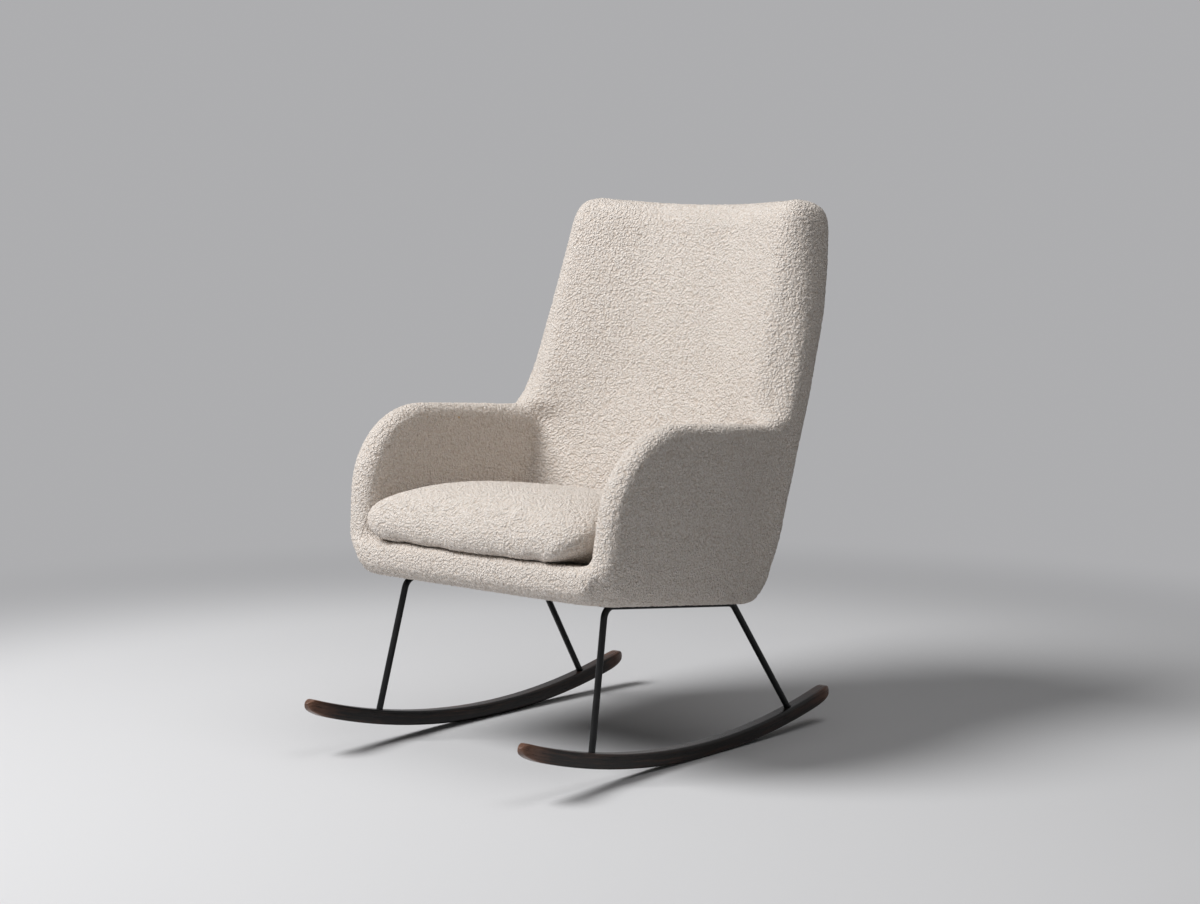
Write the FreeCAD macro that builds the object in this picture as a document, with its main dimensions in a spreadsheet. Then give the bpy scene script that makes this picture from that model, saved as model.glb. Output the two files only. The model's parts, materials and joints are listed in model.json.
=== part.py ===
"""Upholstered rocking chair: boucle shell on a bent-rod base with two wooden rockers.

Millimetres, +Z up, the sitter faces -Y.  The origin is on the floor, midway
between the rocker tips.
"""
import FreeCAD, Part
import math
import os

from FreeCAD import Placement, Rotation, Vector

SIZES = {
    # Rockers
    "rocker_radius": 1500,
    "rocker_height": 27,
    "rocker_width": 27,
    "rocker_length": 866,
    "rocker_spacing": 520,
    "balance_y": 60,
    "rocker_edge_round": 4,
    "rocker_tip_round": 11,
    # Rod base
    "rod_diameter": 12,
    "rail_spacing": 482,
    "rail_length": 358,
    "ring_front_y": -194,
    "ring_front_height": 309,
    "seat_tilt": 6.7,
    "front_foot_y": -251,
    "rear_foot_y": 306,
    "bend_radius": 24,
    "cross_rail_inset": 34,
    "socket_depth": 11,
    "socket_clearance": 0.15,
    "socket_web": 7,
    # Screws up through the rockers into the legs
    "leg_screw_diameter": 5,
    "leg_screw_grip": 12,
    "leg_screw_head_diameter": 9,
    "leg_screw_head_height": 4,
    "leg_screw_clearance": 0.2,
    # Tabs, bolts and tee nuts under the seat
    "tab_thickness": 3,
    "tab_length": 38,
    "tab_width": 32,
    "tab_front_depth": 78,
    "tab_rear_depth": 292,
    "bolt_diameter": 6,
    "bolt_head_diameter": 11,
    "bolt_head_height": 3.5,
    "bolt_clearance": 0.3,
    "washer_diameter": 16,
    "washer_thickness": 1.5,
    "tee_nut_flange_diameter": 19,
    "tee_nut_flange_thickness": 1.5,
    "tee_nut_barrel_diameter": 8,
    "tee_nut_barrel_length": 10,
    # Wooden frame inside the shell
    "dust_cover_thickness": 1,
    "panel_thickness": 18,
    "panel_half_width": 281,
    "panel_front": -60,
    "panel_rear": 370,
    "panel_bevel_depth": 28,
    "panel_bevel_height": 14,
    "window_half_width": 205,
    "window_front": 12,
    "window_rear": 266,
    "post_width": 45,
    "post_depth": 24,
    "post_front": 346,
    "post_length": 648,
    "back_rail_height": 45,
    "lower_rail_height": 42,
    "back_lean": 9.6,
    "arm_panel_thickness": 12,
    "arm_panel_inset": 27,
    "arm_panel_bottom": 5,
    "arm_panel_heel_radius": 45,
    "frame_screw_diameter": 5,
    "frame_screw_length": 40,
    "frame_screw_head_diameter": 9,
    "frame_screw_head_height": 2,
    # Elastic webbing
    "strap_width": 50,
    "strap_thickness": 1.6,
    "strap_overlap": 38,
    "strap_margin": 3,
    "seat_strap_count": 3,
    "back_strap_count": 6,
    "back_strap_first": 120,
    "back_strap_last": 545,
    # Upholstered shell
    "cover_thickness": 3,
    "shell_half_width_bottom": 308,
    "shell_half_width_arm": 329,
    "shell_half_width_top": 284,
    "arm_thickness": 58,
    "arm_front": -90,
    "arm_height": 318,
    "arm_rise": 2.5,
    "arm_rear": 362,
    "arm_front_radius": 170,
    "arm_foot_radius": 55,
    "arm_round": 26,
    "back_front": 308,
    "back_rear": 394,
    "back_rear_lean": 10,
    "back_height": 748,
    "back_hollow": 18,
    "back_bulge": 12,
    "back_roll": 36,
    "back_rear_round": 44,
    "back_top_round": 46,
    "back_bottom_round": 36,
    "deck_front": -100,
    "deck_height": 62,
    "deck_foot_radius": 40,
    "deck_lip_radius": 18,
    "cavity_margin": 20,
    # Loose seat cushion
    "cushion_half_width": 254,
    "cushion_front": -112,
    "cushion_rear": 328,
    "cushion_edge": 40,
    "cushion_crown": 108,
    "cushion_dome_span": 185,
    "cushion_corner": 55,
    "cushion_draw_in": 5,
    "cushion_front_bow": 10,
    "cushion_seam": 8,
}

X_AXIS = Vector(1, 0, 0)
Y_AXIS = Vector(0, 1, 0)
Z_AXIS = Vector(0, 0, 1)

doc = FreeCAD.newDocument("rocking_chair")
sheet = doc.addObject("Spreadsheet::Sheet", "Sizes")
for row, (alias, value) in enumerate(SIZES.items(), start=1):
    sheet.set(f"A{row}", alias)
    sheet.set(f"B{row}", str(value))
    sheet.setAlias(f"B{row}", alias)
doc.recompute()

nodes = []


def size(alias):
    """A driving dimension, read from the sheet."""
    return float(sheet.get(alias))


def bind(obj, **expressions):
    """Ties properties of an object to cells of the sheet."""
    for name, expression in expressions.items():
        obj.setExpression(name, expression)
    return obj


def node(obj, label):
    """Marks an object as a finished piece under its own name."""
    obj.Label = label
    nodes.append(obj)
    return obj


def box(name, length, width, height, corner, frame):
    """Block with its low corner at a point of a frame; its sides are sheet expressions."""
    block = bind(doc.addObject("Part::Box", name), Length=length, Width=width, Height=height)
    block.Placement = frame.multiply(Placement(corner, Rotation()))
    return block


def cylinder(name, radius, height, base, direction):
    """Round bar from a base point along a direction; its sizes are sheet expressions."""
    bar = bind(doc.addObject("Part::Cylinder", name), Radius=radius, Height=height)
    bar.Placement = Placement(base, Rotation(Z_AXIS, direction))
    return bar


def solid(name, shape, frame=Placement()):
    """Free form whose shape is worked out from the sheet."""
    form = doc.addObject("Part::Feature", name)
    form.Shape = shape
    form.Placement = frame
    return form


def fuse(name, *pieces):
    """Several solids joined into one."""
    joined = doc.addObject("Part::MultiFuse", name)
    joined.Shapes = list(pieces)
    return joined


def group(name, pieces):
    """Separate solids kept together as one set."""
    together = doc.addObject("Part::Compound", name)
    together.Links = list(pieces)
    return together


def cut(name, base, *tools):
    """A solid with other solids taken out of it, one after the other."""
    remainder = base
    for number, tool in enumerate(tools, start=1):
        step = doc.addObject("Part::Cut", f"{name}_{number}")
        step.Base = remainder
        step.Tool = tool
        remainder = step
    return remainder


def mirror(name, source):
    """The same piece on the other side of the middle plane."""
    image = doc.addObject("Part::Mirroring", name)
    image.Source = source
    image.Base = Vector()
    image.Normal = X_AXIS
    return image


def pair(source, name):
    """Right-hand piece and its left-hand image, as two finished pieces."""
    node(source, name + "_right")
    return source, node(mirror(name + "_image", source), name + "_left")


def three_point_arc(start, middle, end):
    """Edge of the arc through three points."""
    return Part.Arc(start, middle, end).toShape()


def straight(start, end):
    """Edge of the line between two points."""
    return Part.makeLine(start, end)


# Frames: the seat leans back on the ring, and the back leans back on the seat.
SEAT = Placement(
    Vector(0, size("ring_front_y"), size("ring_front_height")),
    Rotation(X_AXIS, -size("seat_tilt")),
)
BACK = SEAT.multiply(Placement(Vector(0, size("post_front"), 0), Rotation(X_AXIS, -size("back_lean"))))


def seat_point(x, depth, height):
    """Point given across, along and above the ring's plane."""
    return SEAT.multVec(Vector(x, depth, height))


SEAT_UP = SEAT.Rotation.multVec(Z_AXIS)
ROD_RADIUS = size("rod_diameter") / 2
FORM_BOTTOM = size("dust_cover_thickness")
PANEL_TOP = FORM_BOTTOM + size("panel_thickness")


def rocker_top(y):
    """Height of a rocker's upper face at a place along it."""
    radius = size("rocker_radius") - size("rocker_height")
    return size("rocker_radius") - math.sqrt(radius ** 2 - (y - size("balance_y")) ** 2)


# Legs: each runs from a ring corner down into its socket in the rocker.
RAIL_X = size("rail_spacing") / 2
ROCKER_X = size("rocker_spacing") / 2
RING_FRONT = seat_point(RAIL_X, 0, -ROD_RADIUS)
RING_REAR = seat_point(RAIL_X, size("rail_length"), -ROD_RADIUS)
FEET = {}
for place, corner in (("front", RING_FRONT), ("rear", RING_REAR)):
    foot_y = size(place + "_foot_y")
    foot = Vector(ROCKER_X, foot_y, rocker_top(foot_y))
    down = (foot - corner).normalize()
    FEET[place] = (foot + down * size("socket_depth"), down)


def leg_screw_parts(place):
    """Screw through one rocker socket, with the holes that it needs."""
    end, down = FEET[place]
    head_seat = end + down * size("socket_web")
    shank = cylinder(
        f"{place}_screw_shank", "Sizes.leg_screw_diameter / 2",
        "Sizes.leg_screw_grip + Sizes.socket_web", head_seat, -down,
    )
    head = cylinder(
        f"{place}_screw_head", "Sizes.leg_screw_head_diameter / 2",
        "Sizes.leg_screw_head_height", head_seat, down,
    )
    socket = cylinder(
        f"{place}_socket", "Sizes.rod_diameter / 2 + Sizes.socket_clearance",
        "Sizes.socket_depth + Sizes.rocker_height", end, -down,
    )
    bore = cylinder(
        f"{place}_screw_bore", "Sizes.leg_screw_diameter / 2 + Sizes.leg_screw_clearance",
        "Sizes.socket_web", end, down,
    )
    counterbore = cylinder(
        f"{place}_counterbore", "Sizes.leg_screw_head_diameter / 2 + Sizes.leg_screw_clearance",
        "Sizes.rocker_height", head_seat, down,
    )
    tapping = cylinder(
        f"{place}_tapping", "Sizes.leg_screw_diameter / 2",
        "Sizes.leg_screw_grip", end, -down,
    )
    screw = fuse(f"{place}_leg_screw", shank, head)
    return screw, fuse(f"{place}_rocker_holes", socket, bore, counterbore), tapping


def build_rocker(holes):
    """Rocker: a band between two arcs, cut off at its tips, rounded, with sockets for the legs."""
    width, length = size("rocker_width"), size("rocker_length")
    centre = Vector(ROCKER_X - width / 2, size("balance_y"), size("rocker_radius"))
    outer = cylinder("rocker_outer", "Sizes.rocker_radius", "Sizes.rocker_width", centre, X_AXIS)
    inner = cylinder(
        "rocker_inner", "Sizes.rocker_radius - Sizes.rocker_height", "Sizes.rocker_width", centre, X_AXIS
    )
    reach = box(
        "rocker_reach", "Sizes.rocker_width", "Sizes.rocker_length", "Sizes.rocker_radius",
        Vector(centre.x, -length / 2, 0), Placement(),
    )
    blank = doc.addObject("Part::Common", "rocker_blank")
    blank.Base = cut("rocker_band", outer, inner)
    blank.Tool = reach
    doc.recompute()

    def across_tip(edge):
        return edge.BoundBox.XLength > width / 2

    def along_side(edge):
        return edge.BoundBox.XLength < 1e-3

    tips = round_edges("rocker_tips", blank, size("rocker_tip_round"), across_tip)
    rounded = round_edges("rocker_rounded", tips, size("rocker_edge_round"), along_side)
    return cut("rocker", rounded, *holes)


def round_edges(name, base, radius, wanted):
    """Rounds the edges of a solid that a test picks out by their place."""
    chosen = [index for index, edge in enumerate(base.Shape.Edges, start=1) if wanted(edge)]
    rounded = doc.addObject("Part::Fillet", name)
    rounded.Base = base
    rounded.Edges = [(index, radius, radius) for index in chosen]
    doc.recompute()
    return rounded


def bent_wire(points, radius):
    """Straight runs through points, with a tangent arc at each inner one."""
    edges = []
    start = points[0]
    for before, corner, after in zip(points, points[1:], points[2:]):
        back = (before - corner).normalize()
        ahead = (after - corner).normalize()
        half_angle = back.getAngle(ahead) / 2
        reach = radius / math.tan(half_angle)
        bisector = (back + ahead).normalize()
        centre = corner + bisector * (radius / math.sin(half_angle))
        edges.append(straight(start, corner + back * reach))
        start = corner + ahead * reach
        edges.append(three_point_arc(corner + back * reach, centre - bisector * radius, start))
    edges.append(straight(start, points[-1]))
    return Part.Wire(edges)


def build_side_frame(tappings):
    """Bent rod: front leg, side rail and rear leg in one piece, tapped at both feet."""
    front_end, front_down = FEET["front"]
    path = bent_wire([front_end, RING_FRONT, RING_REAR, FEET["rear"][0]], size("bend_radius"))
    spine = solid("side_frame_path", path)
    section = bind(doc.addObject("Part::Circle", "side_frame_section"), Radius="Sizes.rod_diameter / 2")
    section.Placement = Placement(front_end, Rotation(Z_AXIS, -front_down))
    rod = doc.addObject("Part::Sweep", "side_frame_rod")
    rod.Sections = [section]
    rod.Spine = (spine, [f"Edge{index}" for index in range(1, len(path.Edges) + 1)])
    rod.Solid = True
    rod.Frenet = False
    return cut("side_frame", rod, *tappings)


def build_cross_rail(name, depth, side_frames):
    """Straight rod welded between the side rails, coped to them."""
    rod = cylinder(
        name + "_rod", "Sizes.rod_diameter / 2", "Sizes.rail_spacing",
        seat_point(-RAIL_X, depth, -ROD_RADIUS), X_AXIS,
    )
    return node(cut(name + "_coped", rod, *side_frames), name)


def fixing_places():
    """Middle of each tab: across and along the ring."""
    across = RAIL_X - ROD_RADIUS - size("tab_length") / 2
    for side in (-1, 1):
        for depth in (size("tab_front_depth"), size("tab_rear_depth")):
            yield side * across, depth


def build_fixings(side_frames):
    """Tabs welded to the side rails, and the bolts, washers and tee nuts that hold the seat on them."""
    tabs, bolts, washers, nuts = [], [], [], []
    under_tab = -size("tab_thickness")
    nut_reach = size("tee_nut_barrel_length")
    for number, (x, depth) in enumerate(fixing_places(), start=1):
        outward = math.copysign(1, x)
        plate = box(
            f"tab_plate_{number}", "Sizes.tab_length + Sizes.rod_diameter / 2", "Sizes.tab_width",
            "Sizes.tab_thickness",
            Vector(
                x - size("tab_length") / 2 - (ROD_RADIUS if outward < 0 else 0),
                depth - size("tab_width") / 2, under_tab,
            ), SEAT,
        )
        hole = cylinder(
            f"tab_hole_{number}", "Sizes.bolt_diameter / 2 + Sizes.bolt_clearance", "Sizes.tab_thickness",
            seat_point(x, depth, under_tab), SEAT_UP,
        )
        tabs.append(cut(f"tab_{number}", plate, hole, *side_frames))
        washer_disc = cylinder(
            f"washer_disc_{number}", "Sizes.washer_diameter / 2", "Sizes.washer_thickness",
            seat_point(x, depth, under_tab - size("washer_thickness")), SEAT_UP,
        )
        washer_hole = cylinder(
            f"washer_hole_{number}", "Sizes.bolt_diameter / 2 + Sizes.bolt_clearance",
            "Sizes.washer_thickness", seat_point(x, depth, under_tab - size("washer_thickness")), SEAT_UP,
        )
        washers.append(cut(f"washer_{number}", washer_disc, washer_hole))
        head_top = seat_point(x, depth, under_tab - size("washer_thickness"))
        head = cylinder(
            f"bolt_head_{number}", "Sizes.bolt_head_diameter / 2", "Sizes.bolt_head_height",
            head_top, -SEAT_UP,
        )
        shank = cylinder(
            f"bolt_shank_{number}", "Sizes.bolt_diameter / 2",
            "Sizes.washer_thickness + Sizes.tab_thickness + Sizes.dust_cover_thickness"
            " + Sizes.panel_thickness", head_top, SEAT_UP,
        )
        bolts.append(fuse(f"bolt_{number}", head, shank))
        flange = cylinder(
            f"nut_flange_{number}", "Sizes.tee_nut_flange_diameter / 2", "Sizes.tee_nut_flange_thickness",
            seat_point(x, depth, PANEL_TOP), SEAT_UP,
        )
        barrel = cylinder(
            f"nut_barrel_{number}", "Sizes.tee_nut_barrel_diameter / 2", "Sizes.tee_nut_barrel_length",
            seat_point(x, depth, PANEL_TOP - nut_reach), SEAT_UP,
        )
        thread = cylinder(
            f"nut_thread_{number}", "Sizes.bolt_diameter / 2",
            "Sizes.tee_nut_barrel_length + Sizes.tee_nut_flange_thickness",
            seat_point(x, depth, PANEL_TOP - nut_reach), SEAT_UP,
        )
        nuts.append(cut(f"nut_{number}", fuse(f"nut_blank_{number}", flange, barrel), thread))
    node(group("tab_set", tabs), "mounting_tabs")
    node(group("washer_set", washers), "bolt_washers")
    node(group("bolt_set", bolts), "frame_bolts")
    return node(group("nut_set", nuts), "tee_nuts")


def build_post():
    """Right upright post of the back, leaning, cut off level to stand on the seat panel."""
    rough = box(
        "post_rough", "Sizes.post_width", "Sizes.post_depth", "Sizes.post_length",
        Vector(size("panel_half_width") - size("post_width"), 0, 0), BACK,
    )
    below = box(
        "below_post", "Sizes.panel_half_width", "2 * Sizes.post_front", "Sizes.post_length",
        Vector(0, 0, PANEL_TOP - size("post_length")), SEAT,
    )
    return cut("post", rough, below)


def build_back_rail(name, height, low):
    """Rail between the two posts."""
    inner = size("panel_half_width") - size("post_width")
    return node(
        box(
            name + "_block", "2 * (Sizes.panel_half_width - Sizes.post_width)", "Sizes.post_depth",
            height, Vector(-inner, 0, low), BACK,
        ), name,
    )


def arm_profile(inset, bottom, rear, rear_lean, heel_radius=None):
    """Closed side view of the arm, drawn in by an inset, from a bottom height to a rear edge.

    With a heel radius, its lower rear corner is rounded.
    """
    rise = math.radians(size("arm_rise"))
    foot_radius = max(size("arm_foot_radius") - inset, size("arm_round") / 2)
    front = size("arm_front") + inset
    crown_centre = Vector(
        0, size("arm_front") + size("arm_front_radius"),
        size("arm_height") - size("arm_front_radius") * math.cos(rise),
    )
    crown_radius = size("arm_front_radius") - inset

    def on_crown(angle):
        return crown_centre + Vector(0, -math.sin(angle), math.cos(angle)) * crown_radius

    crown_start = on_crown(math.pi / 2)
    crown_end = on_crown(rise)
    foot_centre = Vector(0, front + foot_radius, bottom + foot_radius)
    slant = math.sin(math.pi / 4) * foot_radius
    lean = math.tan(math.radians(rear_lean))
    top_rear = rear + lean * size("arm_height")
    rear_top = Vector(0, top_rear, crown_end.z + (top_rear - crown_end.y) * math.tan(rise))
    rear_bottom = Vector(0, rear + lean * bottom, bottom)
    foot_low = Vector(0, foot_centre.y, bottom)
    foot_high = Vector(0, front, foot_centre.z)
    if heel_radius:
        rear_edges = bent_wire([rear_top, rear_bottom, foot_low], heel_radius).Edges
    else:
        rear_edges = [straight(rear_top, rear_bottom), straight(rear_bottom, foot_low)]
    return Part.Wire([
        *rear_edges,
        three_point_arc(foot_low, foot_centre + Vector(0, -slant, -slant), foot_high),
        straight(foot_high, crown_start),
        three_point_arc(crown_start, on_crown((math.pi / 2 + rise) / 2), crown_end),
        straight(crown_end, rear_top),
    ])


def arm_form(name, inset):
    """Right arm: a slab with rounded edges that leans outwards, drawn in by an inset."""
    thickness = size("arm_thickness") - 2 * inset
    profile = arm_profile(inset, FORM_BOTTOM + inset, size("arm_rear"), size("back_lean"))
    slab = Part.Face(profile).extrude(X_AXIS * thickness)
    rear = size("arm_rear")
    outline = [
        edge for edge in slab.Edges
        if edge.BoundBox.XLength < 1e-3 and edge.CenterOfMass.y < rear - 1e-3
    ]
    slab = slab.makeFillet(size("arm_round") - inset, outline)
    outward = math.degrees(math.atan2(
        size("shell_half_width_arm") - size("shell_half_width_bottom"), size("arm_height")
    ))
    foot = size("shell_half_width_bottom") - size("arm_thickness")
    lean = Placement(Vector(foot, 0, 0), Rotation(Y_AXIS, outward))
    shift = Placement(Vector(inset, 0, 0), Rotation())
    return solid(name, slab, SEAT.multiply(lean).multiply(shift))


def shell_half_width(height):
    """Half width of the back at a height: a parabola through bottom, arm and top widths."""
    bottom, middle, top = (size("shell_half_width_" + place) for place in ("bottom", "arm", "top"))
    at = 2 * height / size("back_height")
    return bottom + at * (middle - bottom) + at * (at - 1) / 2 * (top - 2 * middle + bottom)


def back_section(height, shrink):
    """Level outline of the back: hollow front between two rolls, bulged rear, rounded corners."""
    half = shell_half_width(height) - shrink
    front = size("back_front") + math.tan(math.radians(size("back_lean"))) * height + shrink
    rear = size("back_rear") + math.tan(math.radians(size("back_rear_lean"))) * height - shrink
    roll = size("back_roll") - shrink
    corner = size("back_rear_round") - shrink
    hollow = size("back_hollow")
    bulge = size("back_bulge")
    roll_centre = Vector(half - roll, front + roll, height)
    corner_centre = Vector(half - corner, rear - corner, height)
    front_radius = (roll_centre.x ** 2 - 2 * roll * hollow + hollow ** 2) / (2 * hollow)
    front_centre = Vector(0, front + hollow - front_radius, height)
    touch = roll_centre + (front_centre - roll_centre).normalize() * roll
    reach = corner + bulge
    rear_radius = (corner_centre.x ** 2 + reach ** 2 - corner ** 2) / (2 * bulge)
    rear_centre = Vector(0, corner_centre.y + reach - rear_radius, height)
    rear_touch = corner_centre + (corner_centre - rear_centre).normalize() * corner

    def flip(point):
        return Vector(-point.x, point.y, point.z)

    def bow(centre, radius, start, end):
        middle = ((start - centre).normalize() + (end - centre).normalize()).normalize()
        return centre + middle * radius

    side_front = roll_centre + X_AXIS * roll
    side_rear = corner_centre + X_AXIS * corner
    roll_bow = bow(roll_centre, roll, touch, side_front)
    corner_bow = bow(corner_centre, corner, side_rear, rear_touch)
    return Part.Wire([
        three_point_arc(flip(touch), Vector(0, front + hollow, height), touch),
        three_point_arc(touch, roll_bow, side_front),
        straight(side_front, side_rear),
        three_point_arc(side_rear, corner_bow, rear_touch),
        three_point_arc(rear_touch, Vector(0, rear + bulge, height), flip(rear_touch)),
        three_point_arc(flip(rear_touch), flip(corner_bow), flip(side_rear)),
        straight(flip(side_rear), flip(side_front)),
        three_point_arc(flip(side_front), flip(roll_bow), flip(touch)),
    ])


def back_form(name, inset):
    """Upholstered back: level outlines lofted from the rounded bottom to the rounded top."""
    bottom_round, top_round = size("back_bottom_round"), size("back_top_round")
    low = FORM_BOTTOM + bottom_round
    high = size("back_height") - top_round
    stations = []
    for turn in (72, 45, 18):
        angle = math.radians(turn)
        radius = bottom_round - inset
        stations.append((low - radius * math.sin(angle), bottom_round - radius * math.cos(angle)))
    for share in (0.02, 0.07, 0.16, 0.3, 0.5, 0.7, 0.86, 0.95):
        stations.append((low + share * (high - low), inset))
    for turn in (8, 32, 56, 76):
        angle = math.radians(turn)
        radius = top_round - inset
        stations.append((high + radius * math.sin(angle), top_round - radius * math.cos(angle)))
    sections = [back_section(height, shrink) for height, shrink in stations]
    return solid(name, Part.makeLoft(sections, True, False), SEAT)


def seat_form(name, inset):
    """Padded seat base between the arms, with a rounded front border."""
    front = size("deck_front") + inset
    bottom = FORM_BOTTOM + inset
    top = size("deck_height") - inset
    foot = size("deck_foot_radius") - inset
    lip = size("deck_lip_radius") - inset
    rear = size("post_front")
    reach = size("shell_half_width_bottom") - size("arm_thickness") / 2
    half = math.sqrt(0.5)
    foot_centre = Vector(0, front + foot, bottom + foot)
    lip_centre = Vector(0, front + lip, top - lip)
    profile = Part.Wire([
        straight(Vector(0, rear, bottom), Vector(0, front + foot, bottom)),
        three_point_arc(
            Vector(0, front + foot, bottom), foot_centre - Vector(0, half, half) * foot,
            Vector(0, front, bottom + foot),
        ),
        straight(Vector(0, front, bottom + foot), Vector(0, front, top - lip)),
        three_point_arc(
            Vector(0, front, top - lip), lip_centre + Vector(0, -half, half) * lip,
            Vector(0, front + lip, top),
        ),
        straight(Vector(0, front + lip, top), Vector(0, rear, top)),
        straight(Vector(0, rear, top), Vector(0, rear, bottom)),
    ])
    block = Part.Face(profile).extrude(X_AXIS * 2 * reach)
    return solid(name, block, SEAT.multiply(Placement(Vector(-reach, 0, 0), Rotation())))


def cushion_outline(height, shrink):
    """Level outline of the cushion: rounded corners, drawn-in sides and a bowed front."""
    half = size("cushion_half_width") - shrink
    front = size("cushion_front") + shrink
    rear = size("cushion_rear") - shrink
    corner = size("cushion_corner")
    draw = size("cushion_draw_in")
    bow = size("cushion_front_bow")
    slant = corner * (1 - math.sqrt(0.5))
    middle = (front + rear) / 2

    def at(x, depth):
        return Vector(x, depth, height)

    return Part.Wire([
        three_point_arc(at(corner - half, front), at(0, front - bow), at(half - corner, front)),
        three_point_arc(at(half - corner, front), at(half - slant, front + slant), at(half, front + corner)),
        three_point_arc(at(half, front + corner), at(half - draw, middle), at(half, rear - corner)),
        three_point_arc(at(half, rear - corner), at(half - slant, rear - slant), at(half - corner, rear)),
        three_point_arc(at(half - corner, rear), at(0, rear - draw), at(corner - half, rear)),
        three_point_arc(at(corner - half, rear), at(slant - half, rear - slant), at(-half, rear - corner)),
        three_point_arc(at(-half, rear - corner), at(draw - half, middle), at(-half, front + corner)),
        three_point_arc(at(-half, front + corner), at(slant - half, front + slant), at(corner - half, front)),
    ])


def cushion_form(name, inset):
    """Crowned cushion: flat underneath, fullest at its edge line, domed above it."""
    edge, crown = size("cushion_edge"), size("cushion_crown")
    low_turns = (70, 56, 42, 28, 14)
    high_turns = (0, 12, 24, 36, 48, 58, 67, 75)
    stations = []
    for turn in low_turns:
        share = math.sin(math.radians(turn)) / math.sin(math.radians(low_turns[0]))
        tuck = edge / 2 * (1 - math.cos(math.radians(turn)))
        stations.append((edge - (edge - inset) * share, inset + tuck))
    for turn in high_turns:
        share = math.sin(math.radians(turn)) / math.sin(math.radians(high_turns[-1]))
        slope = size("cushion_dome_span") * (1 - math.cos(math.radians(turn)))
        stations.append((edge + (crown - edge - inset) * share, inset + slope))
    deck = size("deck_height")
    outlines = [cushion_outline(deck + height, shrink) for height, shrink in stations]
    return solid(name, Part.makeLoft(outlines, True, True), SEAT)


def panel_bevel():
    """Wedge that is planed off the seat panel's lower rear edge, where the back's cover turns under."""
    half, rear = size("panel_half_width"), size("panel_rear")
    low = Vector(-half, rear, FORM_BOTTOM)
    triangle = Part.makePolygon([
        low, low - Y_AXIS * size("panel_bevel_depth"), low + Z_AXIS * size("panel_bevel_height"), low,
    ])
    return solid("panel_bevel", Part.Face(triangle).extrude(X_AXIS * 2 * half), SEAT)


def build_straps(name, places, length, half, layer, frame, upright):
    """Row of elastic straps across a frame, each at a place along it."""
    sides = ("Sizes.strap_width", "Sizes.strap_thickness")
    across, tall = reversed(sides) if upright else sides
    straps = []
    for number, middle in enumerate(places, start=1):
        low = middle - size("strap_width") / 2
        corner = Vector(-half, layer, low) if upright else Vector(-half, low, layer)
        straps.append(box(f"{name}_{number}", length, across, tall, corner, frame))
    return node(group(name + "_set", straps), name)


def spread(count, first, last):
    """Evenly spaced places from the first to the last."""
    return [first + (last - first) * number / (count - 1) for number in range(count)]


def build_frame_screws():
    """Screws through the right arm panel into the seat panel's edge and the post."""
    face = size("panel_half_width") + size("arm_panel_thickness")
    edge_height = FORM_BOTTOM + size("panel_thickness") / 2
    places = [
        seat_point(face, size("window_front"), edge_height),
        seat_point(face, size("window_rear"), edge_height),
        BACK.multVec(Vector(face, size("post_depth") / 2, size("lower_rail_height"))),
        BACK.multVec(Vector(face, size("post_depth") / 2, size("post_length") / 3)),
    ]
    screws = []
    for number, place in enumerate(places, start=1):
        shank = cylinder(
            f"frame_screw_shank_{number}", "Sizes.frame_screw_diameter / 2", "Sizes.frame_screw_length",
            place, -X_AXIS,
        )
        head = cylinder(
            f"frame_screw_head_{number}", "Sizes.frame_screw_head_diameter / 2",
            "Sizes.frame_screw_head_height", place, X_AXIS,
        )
        screws.append(fuse(f"frame_screw_{number}", shank, head))
    return group("frame_screws_right", screws)


# Base: rockers, bent side frames, cross rails
front_screw, front_holes, front_tapping = leg_screw_parts("front")
rear_screw, rear_holes, rear_tapping = leg_screw_parts("rear")
pair(build_rocker((front_holes, rear_holes)), "rocker")
side_frames = pair(build_side_frame((front_tapping, rear_tapping)), "side_frame")
node(
    group("leg_screw_set", [
        front_screw, rear_screw,
        mirror("front_leg_screw_left", front_screw), mirror("rear_leg_screw_left", rear_screw),
    ]), "leg_screws",
)
build_cross_rail("front_cross_rail", size("cross_rail_inset"), side_frames)
build_cross_rail("rear_cross_rail", size("rail_length") - size("cross_rail_inset"), side_frames)
nuts = build_fixings(side_frames)

# Wooden frame
screws_right = build_frame_screws()
screws = node(
    group("frame_screw_set", [screws_right, mirror("frame_screws_left", screws_right)]), "frame_screws"
)
posts = pair(cut("post_drilled", build_post(), screws_right), "back_post")
top_rail = build_back_rail(
    "back_top_rail", "Sizes.back_rail_height", size("post_length") - size("back_rail_height")
)
lower_rail = build_back_rail("back_lower_rail", "Sizes.back_rail_height", size("lower_rail_height"))

panel_blank = box(
    "panel_blank", "2 * Sizes.panel_half_width", "Sizes.panel_rear - Sizes.panel_front",
    "Sizes.panel_thickness", Vector(-size("panel_half_width"), size("panel_front"), FORM_BOTTOM), SEAT,
)
window = box(
    "panel_window", "2 * Sizes.window_half_width", "Sizes.window_rear - Sizes.window_front",
    "Sizes.panel_thickness",
    Vector(-size("window_half_width"), size("window_front"), FORM_BOTTOM), SEAT,
)
nut_holes = []
for number, (x, depth) in enumerate(fixing_places(), start=1):
    nut_holes.append(cylinder(
        f"panel_hole_{number}", "Sizes.tee_nut_barrel_diameter / 2", "Sizes.panel_thickness",
        seat_point(x, depth, FORM_BOTTOM), SEAT_UP,
    ))
node(cut("panel", panel_blank, window, panel_bevel(), screws, *nut_holes), "seat_panel")

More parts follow.
